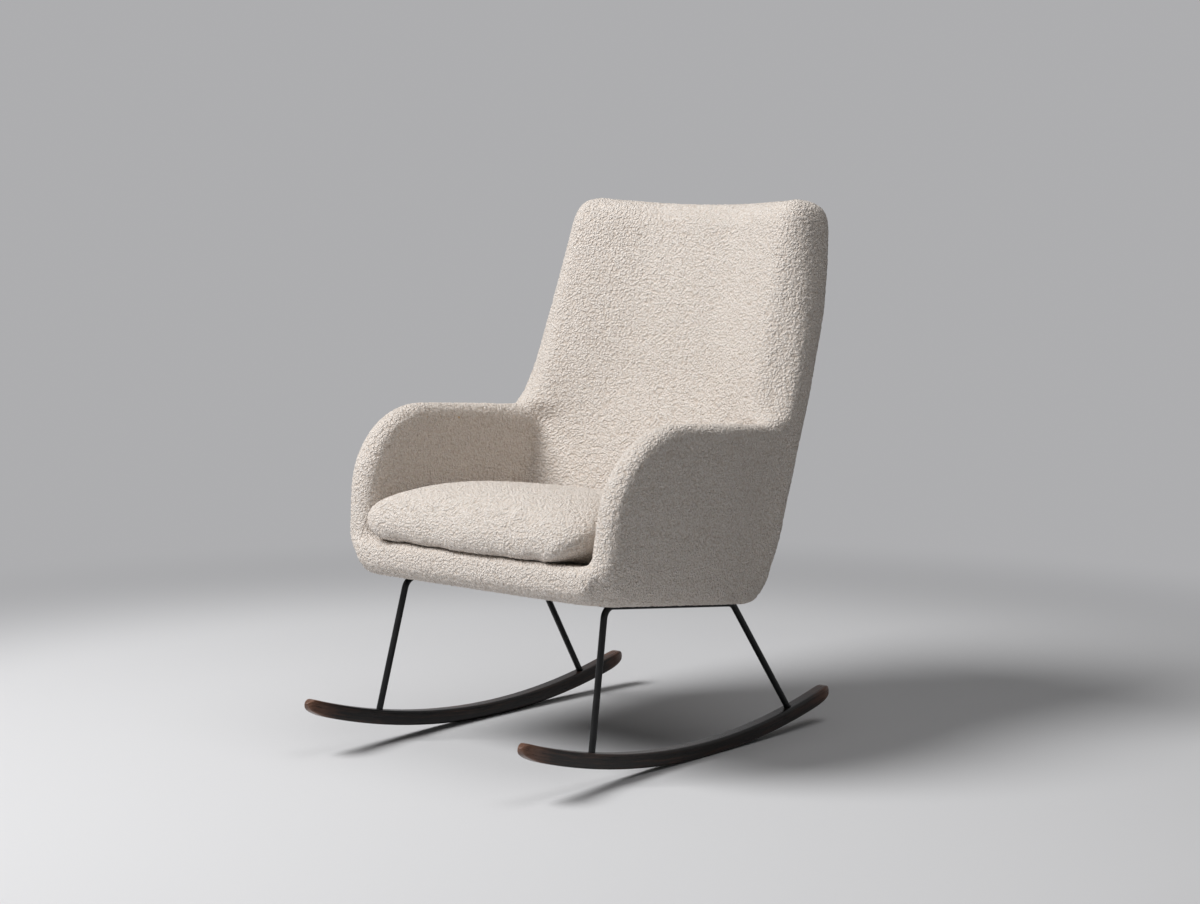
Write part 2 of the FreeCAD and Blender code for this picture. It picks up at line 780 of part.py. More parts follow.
arm_panel_profile = arm_profile(
    size("arm_panel_inset"), size("arm_panel_bottom"),
    size("post_front") + size("post_depth"), size("back_lean"), size("arm_panel_heel_radius"),
)
arm_panel_blank = solid(
    "arm_panel_blank", Part.Face(arm_panel_profile).extrude(X_AXIS * size("arm_panel_thickness")),
    SEAT.multiply(Placement(Vector(size("panel_half_width"), 0, 0), Rotation())),
)
arm_panels = pair(cut("arm_panel_drilled", arm_panel_blank, screws_right), "arm_panel")

strap_edge = size("strap_width") / 2 + size("strap_margin")
seat_webbing = build_straps(
    "seat_webbing",
    spread(
        int(size("seat_strap_count")), size("window_front") + strap_edge, size("window_rear") - strap_edge
    ),
    "2 * (Sizes.window_half_width + Sizes.strap_overlap)",
    size("window_half_width") + size("strap_overlap"), PANEL_TOP, SEAT, False,
)
back_webbing = build_straps(
    "back_webbing",
    spread(int(size("back_strap_count")), size("back_strap_first"), size("back_strap_last")),
    "2 * (Sizes.panel_half_width - Sizes.post_width + Sizes.strap_overlap)",
    size("panel_half_width") - size("post_width") + size("strap_overlap"),
    -size("strap_thickness"), BACK, True,
)

# Upholstered shell: each form twice, at its outside and inside the cover
sole = box(
    "frame_sole", "2 * (Sizes.panel_half_width + Sizes.arm_panel_thickness)",
    "Sizes.panel_rear - Sizes.panel_front", "Sizes.arm_panel_bottom - Sizes.dust_cover_thickness",
    Vector(
        -size("panel_half_width") - size("arm_panel_thickness"), size("panel_front"), FORM_BOTTOM
    ), SEAT,
)
frame_core = fuse(
    "frame_core", panel_blank, *posts, top_rail, lower_rail, *arm_panels,
    seat_webbing, back_webbing, nuts, screws,
)
back_outer = back_form("back_outer", 0)
back_inner = back_form("back_inner", size("cover_thickness"))
arm_outer = arm_form("arm_outer", 0)
arm_inner = arm_form("arm_inner", size("cover_thickness"))
arm_outer_left = mirror("arm_outer_left", arm_outer)
seat_outer = seat_form("seat_outer", 0)
seat_inner = seat_form("seat_inner", size("cover_thickness"))

well = box(
    "seat_well", "2 * Sizes.window_half_width", "Sizes.window_rear - Sizes.window_front",
    "Sizes.panel_thickness + Sizes.strap_thickness",
    Vector(-size("window_half_width"), size("window_front"), FORM_BOTTOM), SEAT,
)
cavity = box(
    "back_cavity", "2 * (Sizes.panel_half_width - Sizes.post_width)",
    "Sizes.post_depth + Sizes.cavity_margin",
    "Sizes.post_length - 2 * Sizes.back_rail_height - Sizes.lower_rail_height",
    Vector(
        size("post_width") - size("panel_half_width"), -size("strap_thickness"),
        size("lower_rail_height") + size("back_rail_height"),
    ), BACK,
)

node(cut("back_skin", back_outer, back_inner, panel_blank, sole, *arm_panels), "back_cover")
node(cut("back_padding", back_inner, frame_core, cavity), "back_foam")
pair(cut("arm_skin", arm_outer, arm_inner, back_outer, panel_blank), "arm_cover")
pair(cut("arm_padding", arm_inner, back_outer, frame_core), "arm_foam")
neighbours = (arm_outer, arm_outer_left, back_outer)
node(cut("seat_skin", seat_outer, seat_inner, *neighbours, panel_blank), "seat_cover")
node(cut("seat_padding", seat_inner, *neighbours, frame_core, well), "seat_foam")

dust_blank = box(
    "dust_blank", "2 * Sizes.window_half_width + 2 * Sizes.strap_overlap",
    "Sizes.panel_rear - Sizes.panel_bevel_depth - Sizes.panel_front", "Sizes.dust_cover_thickness",
    Vector(-size("window_half_width") - size("strap_overlap"), size("panel_front"), 0), SEAT,
)
dust_holes = []
for number, (x, depth) in enumerate(fixing_places(), start=1):
    dust_holes.append(cylinder(
        f"dust_hole_{number}", "Sizes.bolt_diameter / 2 + Sizes.bolt_clearance",
        "Sizes.dust_cover_thickness", seat_point(x, depth, 0), SEAT_UP,
    ))
node(cut("dust_sheet", dust_blank, *dust_holes), "dust_cover")

# Loose cushion
cushion_outer = cushion_form("cushion_outer", 0)
cushion_inner = node(cushion_form("cushion_inner", size("cover_thickness")), "cushion_core")
seam_slab = box(
    "seam_slab", "2 * Sizes.cushion_half_width",
    "Sizes.cushion_rear - Sizes.cushion_front + Sizes.cushion_front_bow", "Sizes.cushion_seam",
    Vector(
        -size("cushion_half_width"), size("cushion_front") - size("cushion_front_bow"), size("deck_height")
    ), SEAT,
)
cushion_foot = doc.addObject("Part::Common", "cushion_foot")
cushion_foot.Base = cushion_outer
cushion_foot.Tool = seam_slab
node(cut("cushion_skin", cushion_outer, seam_slab, cushion_inner), "cushion_cover")
node(cut("cushion_base", cushion_foot, cushion_inner), "cushion_underside")

doc.recompute()
for obj in doc.Objects:
    if "Invalid" in obj.State or "Error" in obj.State:
        raise RuntimeError(f"{obj.Name} did not compute: {obj.State}")
for piece in nodes:
    if piece.Shape.isNull() or not piece.Shape.isValid():
        raise RuntimeError(f"{piece.Label} has no valid shape")

os.makedirs("parts", exist_ok=True)
for piece in nodes:
    piece.Shape.exportStep(f"parts/{piece.Label}.step")
    print(f"{piece.Label}: {len(piece.Shape.Solids)} solids, {piece.Shape.Volume / 1000:.1f} cm3")
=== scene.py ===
"""Looks of an upholstered rocking chair: boucle shell and cushion, black rod base, wooden rockers."""

from __future__ import annotations

import json
import logging
import math
from dataclasses import dataclass, field
from enum import Enum

import bpy
import numpy as np
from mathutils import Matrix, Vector, noise

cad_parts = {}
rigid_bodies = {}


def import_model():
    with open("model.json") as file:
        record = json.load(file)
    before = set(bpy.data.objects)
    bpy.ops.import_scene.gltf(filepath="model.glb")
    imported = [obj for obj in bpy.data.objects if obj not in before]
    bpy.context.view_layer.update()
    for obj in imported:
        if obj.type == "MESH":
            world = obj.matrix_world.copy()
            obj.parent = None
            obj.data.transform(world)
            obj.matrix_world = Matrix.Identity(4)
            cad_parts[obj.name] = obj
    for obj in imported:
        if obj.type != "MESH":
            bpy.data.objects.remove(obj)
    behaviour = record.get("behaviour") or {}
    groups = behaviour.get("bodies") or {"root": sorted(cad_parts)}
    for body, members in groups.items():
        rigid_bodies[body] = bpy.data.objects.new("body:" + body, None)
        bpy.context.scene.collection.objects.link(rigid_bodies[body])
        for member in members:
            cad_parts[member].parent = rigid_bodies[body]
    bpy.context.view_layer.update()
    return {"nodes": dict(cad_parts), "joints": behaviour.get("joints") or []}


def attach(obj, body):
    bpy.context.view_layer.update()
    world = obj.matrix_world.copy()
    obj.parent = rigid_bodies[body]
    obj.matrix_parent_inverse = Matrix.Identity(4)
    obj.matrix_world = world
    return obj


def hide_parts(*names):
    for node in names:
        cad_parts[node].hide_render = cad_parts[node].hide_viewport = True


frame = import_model()

LOG = logging.getLogger("rocking_chair")
MERGE_DISTANCE = 1e-5
TINY = 1e-9
LEAST_WEIGHT = 0.01
SMOOTHING_STEP = 0.5
ROCKER_RADIUS = 1.500
ROCKER_BALANCE_Y = 0.060
Colour = tuple[float, float, float, float]
Place = tuple[float, float, float]
Span = tuple[float, float]


class Body(Enum):
    """The two bodies of the chair."""

    CHAIR = "chair"
    CUSHION = "cushion"


class Slot(Enum):
    """The finishes that the pieces take."""

    BOUCLE = "boucle"
    DUST_CLOTH = "dust_cloth"
    WEBBING = "webbing"
    ROCKER_WOOD = "rocker_wood"


def activate(piece: bpy.types.Object) -> None:
    """Select one object alone and make it the active one.

    Args:
        piece: The object that the next operators act on.
    """
    bpy.ops.object.select_all(action="DESELECT")
    piece.select_set(True)
    bpy.context.view_layer.objects.active = piece


def apply_modifier(piece: bpy.types.Object, kind: str, **settings: object) -> None:
    """Add a modifier to a piece and apply it.

    Args:
        piece: The object that is changed.
        kind: The modifier's type, such as REMESH.
        **settings: The modifier's own properties.
    """
    activate(piece)
    modifier = piece.modifiers.new(kind.lower(), kind)
    for name, value in settings.items():
        setattr(modifier, name, value)
    bpy.ops.object.modifier_apply(modifier=modifier.name)


def copy_nodes(name: str, nodes: tuple[str, ...]) -> bpy.types.Object:
    """Join copies of some nodes' meshes in one new object and merge its doubles.

    Args:
        name: The new object's name.
        nodes: The nodes that are copied.

    Returns:
        The new object, at the origin.
    """
    copies = []
    for node in nodes:
        copy = bpy.data.objects.new(f"{name}_{node}", frame["nodes"][node].data.copy())
        bpy.context.collection.objects.link(copy)
        copies.append(copy)
    activate(copies[0])
    for copy in copies:
        copy.select_set(True)
    if len(copies) > 1:
        bpy.ops.object.join()
    piece = copies[0]
    piece.name = name
    piece.data.name = name
    piece.data.materials.clear()
    bpy.ops.object.mode_set(mode="EDIT")
    bpy.ops.mesh.select_all(action="SELECT")
    bpy.ops.mesh.remove_doubles(threshold=MERGE_DISTANCE)
    bpy.ops.mesh.customdata_custom_splitnormals_clear()
    bpy.ops.object.mode_set(mode="OBJECT")
    return piece


def read_points(piece: bpy.types.Object) -> np.ndarray:
    """Read a mesh's points.

    Args:
        piece: The object whose mesh is read.

    Returns:
        One row of x, y and z for each point, in metres.
    """
    points = np.empty(len(piece.data.vertices) * 3)
    piece.data.vertices.foreach_get("co", points)
    return points.reshape(-1, 3)


def read_normals(piece: bpy.types.Object) -> np.ndarray:
    """Read the normals at a mesh's points.

    Args:
        piece: The object whose mesh is read.

    Returns:
        One unit vector for each point.
    """
    normals = np.empty(len(piece.data.vertices) * 3)
    piece.data.vertex_normals.foreach_get("vector", normals)
    return normals.reshape(-1, 3)


def write_points(piece: bpy.types.Object, points: np.ndarray) -> None:
    """Move a mesh's points to new places.

    Args:
        piece: The object whose mesh is changed.
        points: One row of x, y and z for each point, in metres.
    """
    piece.data.vertices.foreach_set("co", points.astype(np.float32).ravel())
    piece.data.update()


@dataclass(frozen=True)
class Reach:
    """A stretch over which a change sets in or dies out smoothly."""

    start: float
    end: float

    def up(self, values: np.ndarray) -> np.ndarray:
        """Rise from 0 at the start to 1 at the end.

        Args:
            values: The numbers that are mapped.

        Returns:
            Numbers from 0 to 1.
        """
        share = np.clip((values - self.start) / (self.end - self.start), 0.0, 1.0)
        return share * share * (3.0 - 2.0 * share)

    def down(self, values: np.ndarray) -> np.ndarray:
        """Fall from 1 at the start to 0 at the end.

        Args:
            values: The numbers that are mapped.

        Returns:
            Numbers from 0 to 1.
        """
        return 1.0 - self.up(values)


def keep_outer_skin(piece: bpy.types.Object) -> None:
    """Delete every loose part of a mesh but the one that holds its highest point.

    Args:
        piece: The object whose inner skins are deleted.
    """
    top = int(np.argmax(read_points(piece)[:, 2]))
    activate(piece)
    bpy.ops.object.mode_set(mode="EDIT")
    bpy.ops.mesh.select_mode(type="VERT")
    bpy.ops.mesh.select_all(action="DESELECT")
    bpy.ops.object.mode_set(mode="OBJECT")
    piece.data.vertices[top].select = True
    bpy.ops.object.mode_set(mode="EDIT")
    bpy.ops.mesh.select_linked()
    bpy.ops.mesh.select_all(action="INVERT")
    bpy.ops.mesh.delete(type="VERT")
    bpy.ops.object.mode_set(mode="OBJECT")


def reskin(piece: bpy.types.Object, voxel: float) -> None:
    """Mesh a piece anew with even faces and keep its outer skin.

    Args:
        piece: The object that is changed.
        voxel: How long the faces' edges are.
    """
    apply_modifier(piece, "REMESH", mode="VOXEL", voxel_size=voxel)
    keep_outer_skin(piece)


def smooth_where(piece: bpy.types.Object, weights: np.ndarray, rounds: int) -> None:
    """Smooth a mesh where the weights say.

    Args:
        piece: The object that is smoothed.
        weights: From 0, kept, to 1, smoothed, for each point.
        rounds: How often each point moves towards its neighbours.
    """
    group = piece.vertex_groups.new(name="soft")
    for index in np.flatnonzero(weights > LEAST_WEIGHT):
        group.add([int(index)], float(weights[index]), "REPLACE")
    apply_modifier(piece, "SMOOTH", factor=SMOOTHING_STEP, iterations=rounds, vertex_group=group.name)
    piece.vertex_groups.clear()


def shade_smooth(piece: bpy.types.Object) -> None:
    """Shade a piece smoothly all over.

    Args:
        piece: The object that is shaded.
    """
    activate(piece)
    bpy.ops.object.shade_smooth()


def aim(name: str, data: bpy.types.ID, place: Place, target: Place) -> bpy.types.Object:
    """Put a lamp or a camera in its place and turn it to a target.

    Args:
        name: The new object's name.
        data: The lamp or the camera.
        place: Where it stands.
        target: What it points at.

    Returns:
        The new object.
    """
    holder = bpy.data.objects.new(name, data)
    bpy.context.collection.objects.link(holder)
    holder.location = place
    holder.rotation_euler = (Vector(target) - holder.location).to_track_quat("-Z", "Y").to_euler()
    return holder


@dataclass(frozen=True)
class SeatFrame:
    """The tilted seat: x across, v back along the seat and w square to it, in metres from the front rail."""

    rail_y: float = -0.194
    rail_z: float = 0.309
    rise: Place = tuple(frame["joints"][0]["axis"])

    def measure(self, points: np.ndarray) -> tuple[np.ndarray, np.ndarray, np.ndarray]:
        """Turn places in the chair's frame into the seat's.

        Args:
            points: One row of x, y and z for each point.

        Returns:
            The points' x, v and w.
        """
        sine, cosine = self.rise[1], self.rise[2]
        y = points[:, 1] - self.rail_y
        z = points[:, 2] - self.rail_z
        return points[:, 0], y * cosine - z * sine, y * sine + z * cosine

    def place(self, x: np.ndarray, v: np.ndarray, w: np.ndarray) -> np.ndarray:
        """Turn places in the seat's frame into the chair's.

        Args:
            x: Places across the seat.
            v: Places along the seat, to the rear.
            w: Heights square to the seat.

        Returns:
            One row of x, y and z for each point.
        """
        sine, cosine = self.rise[1], self.rise[2]
        return np.column_stack((x, self.rail_y + v * cosine + w * sine, self.rail_z - v * sine + w * cosine))


class Sketch:
    """The node tree of one material while it is wired."""

    def __init__(self, name: str) -> None:
        """Start a material with its shader and its Object coordinates.

        Args:
            name: The material's name.
        """
        self.material = bpy.data.materials.new(name)
        self.material.use_nodes = True
        self.tree = self.material.node_tree
        self.shader = self.tree.nodes["Principled BSDF"]
        self.place = self.add("ShaderNodeTexCoord").outputs["Object"]

    def add(self, kind: str, inputs: dict | None = None, **settings: object) -> bpy.types.Node:
        """Add a node.

        Args:
            kind: The node's type.
            inputs: Values or sockets for the node's inputs.
            **settings: The node's own properties.

        Returns:
            The new node.
        """
        node = self.tree.nodes.new(kind)
        for name, value in settings.items():
            setattr(node, name, value)
        for name, value in (inputs or {}).items():
            self.feed(node.inputs[name], value)
        return node

    def feed(self, socket: bpy.types.NodeSocket, value: object) -> None:
        """Give a socket a value, or link it to another node's socket.

        Args:
            socket: The input.
            value: A number, a vector, a colour or an output socket.
        """
        if isinstance(value, bpy.types.NodeSocket):
            self.tree.links.new(value, socket)
        else:
            socket.default_value = value

    def math(self, operation: str, first: object, second: object = 0.0) -> bpy.types.NodeSocket:
        """Work out a number from two others.

        Args:
            operation: The Math node's operation.
            first: A number or a socket.
            second: A number or a socket.

        Returns:
            The socket that holds the result.
        """
        return self.add("ShaderNodeMath", {0: first, 1: second}, operation=operation).outputs[0]

    def total(self, first: object, *others: object) -> bpy.types.NodeSocket:
        """Add numbers up.

        Args:
            first: A socket.
            *others: Numbers or sockets.

        Returns:
            The socket that holds the sum.
        """
        for other in others:
            first = self.math("ADD", first, other)
        return first

    def noise(self, scale: float, detail: float = 3.0, place: bpy.types.NodeSocket | None = None,
              roughness: float = 0.55) -> bpy.types.NodeSocket:
        """Add cloudy noise.

        Args:
            scale: Its scale for each metre.
            detail: How many finer layers it has.
            place: The coordinates that it reads.
            roughness: How strong the finer layers are.

        Returns:
            The socket that holds the noise.
        """
        inputs = {"Vector": place or self.place, "Scale": scale, "Detail": detail, "Roughness": roughness}
        return self.add("ShaderNodeTexNoise", inputs).outputs["Fac"]

    def stretched(self, scale: Place) -> bpy.types.NodeSocket:
        """Stretch the coordinates.

        Args:
            scale: The scale along x, y and z.

        Returns:
            The socket that holds the stretched coordinates.
        """
        return self.add("ShaderNodeMapping", {"Vector": self.place, "Scale": scale}).outputs["Vector"]

    def colours(self, share: bpy.types.NodeSocket, stops: tuple[float, ...],
                tones: tuple[Colour, ...]) -> bpy.types.NodeSocket:
        """Turn a number into a colour.

        Args:
            share: The number, from 0 to 1.
            stops: Places on the scale.
            tones: The colour at each place.

        Returns:
            The socket that holds the colour.
        """
        node = self.add("ShaderNodeValToRGB", {"Fac": share})
        elements = node.color_ramp.elements
        while len(elements) < len(stops):
            elements.new(position=0.5)
        for element, position, colour in zip(elements, stops, tones):
            element.position = position
            element.color = colour
        return node.outputs["Color"]

    def span(self, value: bpy.types.NodeSocket, low: float, high: float) -> bpy.types.NodeSocket:
        """Map a number from 0 to 1 onto a range.

        Args:
            value: The number.
            low: What 0 becomes.
            high: What 1 becomes.

        Returns:
            The socket that holds the result.
        """
        inputs = {"Value": value, "To Min": low, "To Max": high}
        return self.add("ShaderNodeMapRange", inputs).outputs["Result"]

    def rise(self, value: bpy.types.NodeSocket, start: float, end: float) -> bpy.types.NodeSocket:
        """Rise smoothly from 0 at the start to 1 at the end.

        Args:
            value: The number.
            start: Where the rise begins.
            end: Where the rise is over.

        Returns:
            The socket that holds the result.
        """
        inputs = {"Value": value, "From Min": start, "From Max": end}
        return self.add("ShaderNodeMapRange", inputs, interpolation_type="SMOOTHSTEP").outputs["Result"]

    def bump(self, height: bpy.types.NodeSocket, strength: float, distance: float) -> None:
        """Raise the surface by a height.

        Args:
            height: The socket that holds the height.
            strength: How strongly it shows.
            distance: The height in metres that 1 stands for.
        """
        inputs = {"Height": height, "Strength": strength, "Distance": distance}
        self.feed(self.shader.inputs["Normal"], self.add("ShaderNodeBump", inputs).outputs["Normal"])

    def finish(self, **sockets: object) -> bpy.types.Material:
        """Set the shader's sockets.

        Args:
            **sockets: Values or sockets by the input's name, with _ for a blank.

        Returns:
            The finished material.
        """
        for name, value in sockets.items():
            self.feed(self.shader.inputs[name.replace("_", " ")], value)
        return self.material


@dataclass(frozen=True)
class BoucleYarn:
    """Looped cream yarn: raised loops in the mesh, and fibres, painted shade in the hollows and painted
    highlights on the loop tops in the material.
    """

    loop: float = 0.0066
    small_loop: float = 0.0048
    height: float = 0.0014
    rest_level: float = 0.55
    large_share: float = 0.66
    small_share: float = 0.34
    roundness: float = 1.15
    wander: float = 0.002
    wander_loops: float = 4.0
    level_percentiles: Span = (2.0, 98.0)
    attribute: str = "loops"
    fine_loops: float = 225.0
    fine_loop_depth: float = 0.80
    curls: float = 470.0
    curl_depth: float = 0.42
    fibres: float = 1300.0
    fibre_height: float = 0.10
    swirls: float = 95.0
    swirl: float = 0.0028
    grain: float = 430.0
    grain_tone: Span = (-0.04, 0.59)
    painted_loop_shade: float = 0.45
    painted_raised_shade: float = 0.04
    patches: float = 8.0
    patch_tone: float = 0.02
    relief: float = 0.0054
    # The colour ramp follows the loops' height: the hollow and shade colours are painted shade in the
    # crevices, and the tip colour is a painted highlight on the loop tops. The grain and patches add random
    # tone.
    stops: tuple[float, ...] = (0.12, 0.33, 0.49, 0.66)
    hollow: Colour = (0.570, 0.470, 0.390, 1.0)
    shade: Colour = (0.755, 0.662, 0.582, 1.0)
    cream: Colour = (0.858, 0.782, 0.716, 1.0)
    tip: Colour = (0.942, 0.888, 0.840, 1.0)
    sheen: float = 0.15
    sheen_tint: Colour = (1.0, 0.955, 0.895, 1.0)

    def material(self) -> bpy.types.Material:
        """Make the yarn's material.

        Returns:
            The material.
        """
        sketch = Sketch("boucle_yarn")
        raised = sketch.add("ShaderNodeAttribute", attribute_name=self.attribute).outputs["Fac"]
        grain = sketch.noise(self.grain, detail=2.0, roughness=0.6)
        patch = sketch.noise(self.patches)
        height = self.loop_height(sketch)
        depth = sketch.total(
            sketch.math("MULTIPLY", height, self.painted_loop_shade),
            sketch.span(grain, *self.grain_tone),
            sketch.span(raised, -self.painted_raised_shade, self.painted_raised_shade),
            sketch.span(patch, -self.patch_tone, self.patch_tone),
        )
        # Painted shade in the hollows and painted highlights on the loop tops, mixed with the yarn's random
        # tone.
        colour = sketch.colours(depth, self.stops, (self.hollow, self.shade, self.cream, self.tip))
        sketch.bump(height, strength=1.0, distance=self.relief)
        return sketch.finish(
            Base_Color=colour, Roughness=0.94, Specular_IOR_Level=0.16,
            Sheen_Weight=self.sheen, Sheen_Roughness=0.55, Sheen_Tint=self.sheen_tint,
        )

    def loop_height(self, sketch: Sketch) -> bpy.types.NodeSocket:
        """Work out the height of the fine loops, their curls and fibres.

        Args:
            sketch: The material that is wired.

        Returns:
            The socket that holds the height.
        """
        swirl = sketch.add("ShaderNodeTexNoise", {
            "Vector": sketch.place, "Scale": self.swirls, "Detail": 1.0}).outputs["Color"]
        drift = sketch.add("ShaderNodeVectorMath", {0: swirl, 1: (self.swirl,) * 3}, operation="MULTIPLY")
        place = sketch.add("ShaderNodeVectorMath", {
            0: sketch.place, 1: drift.outputs["Vector"]}, operation="ADD").outputs["Vector"]
        height: object = 1.0
        for scale, depth in ((self.fine_loops, self.fine_loop_depth), (self.curls, self.curl_depth)):
            cells = sketch.add("ShaderNodeTexVoronoi", {"Vector": place, "Scale": scale}).outputs["Distance"]
            height = sketch.math("SUBTRACT", height, sketch.math("MULTIPLY", cells, depth))
        fibre = sketch.noise(self.fibres, roughness=0.65)
        return sketch.math("ADD", height, sketch.span(fibre, -self.fibre_height, self.fibre_height))

    def raise_loops(self, piece: bpy.types.Object) -> None:
        """Raise the yarn's loops on a mesh and keep their height for the material, which paints shade in the
        hollows and highlights on the loop tops by it.

        Args:
            piece: The object whose points are moved along their normals.
        """
        points = read_points(piece)
        heights = np.empty(len(points))
        for index, point in enumerate(points):
            place = Vector(point)
            drift = noise.noise_vector(place / (self.wander_loops * self.loop)) * self.wander
            large = noise.voronoi((place + drift) / self.loop)[0][0]
            small = noise.voronoi((place - drift) / self.small_loop)[0][0]
            heights[index] = (self.large_share * (1.0 - self.roundness * large ** 2)
                              + self.small_share * (1.0 - self.roundness * small ** 2))
        low, high = np.percentile(heights, self.level_percentiles)
        heights = np.clip((heights - low) / (high - low), 0.0, 1.0)
        lift = (heights - self.rest_level) * self.height
        write_points(piece, points + read_normals(piece) * lift[:, None])
        stored = piece.data.attributes.new(self.attribute, "FLOAT", "POINT")
        stored.data.foreach_set("value", heights.astype(np.float32))


@dataclass(frozen=True)
class StainedWood:
    """Near-black stained wood whose grain follows the rocker's curve, worn brown at the tips."""

    radius: float = ROCKER_RADIUS
    balance_y: float = ROCKER_BALANCE_Y
    tips: Span = (0.350, 0.436)
    grain: float = 330.0
    grain_stretch: float = 0.045
    grain_tone: float = 0.75
    pores: float = 1500.0
    pore_depth: float = 0.6
    broad_grain: float = 60.0
    broad_tone: float = 0.45
    darker: float = 0.18
    wear: float = 46.0
    wear_tone: Span = (0.10, 0.62)
    relief: float = 0.0006
    polish: Span = (0.20, 0.40)
    stops: tuple[float, ...] = (0.36, 0.46, 0.62, 0.95)
    dark: Colour = (0.0036, 0.0026, 0.0023, 1.0)
    brown: Colour = (0.0150, 0.0078, 0.0054, 1.0)
    streak: Colour = (0.068, 0.031, 0.019, 1.0)
    worn: Colour = (0.185, 0.094, 0.060, 1.0)

    def material(self) -> bpy.types.Material:
        """Make the wood's material.

        Returns:
            The material.
        """
        sketch = Sketch("stained_wood")
        axes = sketch.add("ShaderNodeSeparateXYZ", {"Vector": sketch.place}).outputs
        back = sketch.math("SUBTRACT", axes["Y"], self.balance_y)
        drop = sketch.math("SUBTRACT", self.radius, axes["Z"])
        along = sketch.math("MULTIPLY", sketch.math("ARCTAN2", back, drop), self.radius)
        along = sketch.math("MULTIPLY", along, self.grain_stretch)
        squares = [sketch.math("MULTIPLY", leg, leg) for leg in (back, drop)]
        reach = sketch.math("SQRT", sketch.total(*squares))
        place = sketch.add("ShaderNodeCombineXYZ", {"X": along, "Y": axes["X"], "Z": reach}).outputs["Vector"]
        grain = sketch.noise(self.grain, detail=6.0, place=place, roughness=0.62)
        pores = sketch.noise(self.pores, place=place, roughness=0.7)
        broad = sketch.noise(self.broad_grain, detail=2.0, place=place)
        wear = sketch.span(sketch.noise(self.wear, detail=5.0), *self.wear_tone)
        tip = sketch.rise(sketch.math("ABSOLUTE", axes["Y"]), *self.tips)
        tone = sketch.total(
            sketch.math("MULTIPLY", grain, self.grain_tone),
            sketch.math("MULTIPLY", broad, self.broad_tone),
            -self.darker,
            sketch.math("MULTIPLY", tip, wear),
        )
        colour = sketch.colours(tone, self.stops, (self.dark, self.brown, self.streak, self.worn))
        height = sketch.math("ADD", grain, sketch.math("MULTIPLY", pores, self.pore_depth))
        sketch.bump(height, strength=0.30, distance=self.relief)
        return sketch.finish(
            Base_Color=colour, Roughness=sketch.span(grain, *self.polish), Specular_IOR_Level=0.32,
        )


@dataclass(frozen=True)
class SatinBlack:
    """Satin black powder coat on steel, with a fine orange peel."""

    name: str = "satin_black_coat"
    peel: float = 1400.0
    relief: float = 0.0004
    clouds: float = 34.0
    gloss: Span = (0.30, 0.46)
    stops: tuple[float, ...] = (0.38, 0.72)
    dark: Colour = (0.0036, 0.0037, 0.0040, 1.0)
    rubbed: Colour = (0.0100, 0.0100, 0.0105, 1.0)

    def material(self) -> bpy.types.Material:
        """Make the coat's material.

        Returns:
            The material.
        """
        sketch = Sketch(self.name)
        cloud = sketch.noise(self.clouds, detail=4.0)
        colour = sketch.colours(cloud, self.stops, (self.dark, self.rubbed))
        sketch.bump(sketch.noise(self.peel, detail=2.0), strength=0.22, distance=self.relief)
        return sketch.finish(
            Base_Color=colour, Roughness=sketch.span(cloud, *self.gloss), Specular_IOR_Level=0.3,
        )


@dataclass(frozen=True)
class ZincPlate:
    """Bright zinc plate on fixings, slightly clouded."""

    clouds: float = 240.0
    scratches: float = 1800.0
    relief: float = 0.0002
    polish: Span = (0.25, 0.45)
    stops: tuple[float, ...] = (0.35, 0.68)
    dull: Colour = (0.40, 0.41, 0.41, 1.0)
    pale: Colour = (0.62, 0.62, 0.60, 1.0)

    def material(self) -> bpy.types.Material:
        """Make the plate's material.

        Returns:
            The material.
        """
        sketch = Sketch("zinc_plate")
        cloud = sketch.noise(self.clouds, detail=4.0)
        colour = sketch.colours(cloud, self.stops, (self.dull, self.pale))
        sketch.bump(sketch.noise(self.scratches, detail=2.0), strength=0.15, distance=self.relief)
        return sketch.finish(Base_Color=colour, Metallic=0.95, Roughness=sketch.span(cloud, *self.polish))


@dataclass(frozen=True)
class RawTimber:
    """Unfinished frame wood: solid timber or plywood, by the direction of its layers."""

    name: str
    stretch: Place
    scale: float
    early: Colour = (0.62, 0.43, 0.25, 1.0)
    late: Colour = (0.42, 0.26, 0.13, 1.0)
    flecks: float = 700.0
    relief: float = 0.0004
    dryness: Span = (0.62, 0.82)
    stops: tuple[float, ...] = (0.36, 0.60)

    def material(self) -> bpy.types.Material:
        """Make the wood's material.

        Returns:
            The material.
        """
        sketch = Sketch(self.name)
        place = sketch.stretched(self.stretch)
        grain = sketch.noise(self.scale, detail=5.0, place=place, roughness=0.6)
        fleck = sketch.noise(self.flecks, detail=2.0, place=place)
        colour = sketch.colours(grain, self.stops, (self.late, self.early))
        sketch.bump(sketch.total(grain, fleck), strength=0.3, distance=self.relief)
        return sketch.finish(Base_Color=colour, Roughness=sketch.span(fleck, *self.dryness))


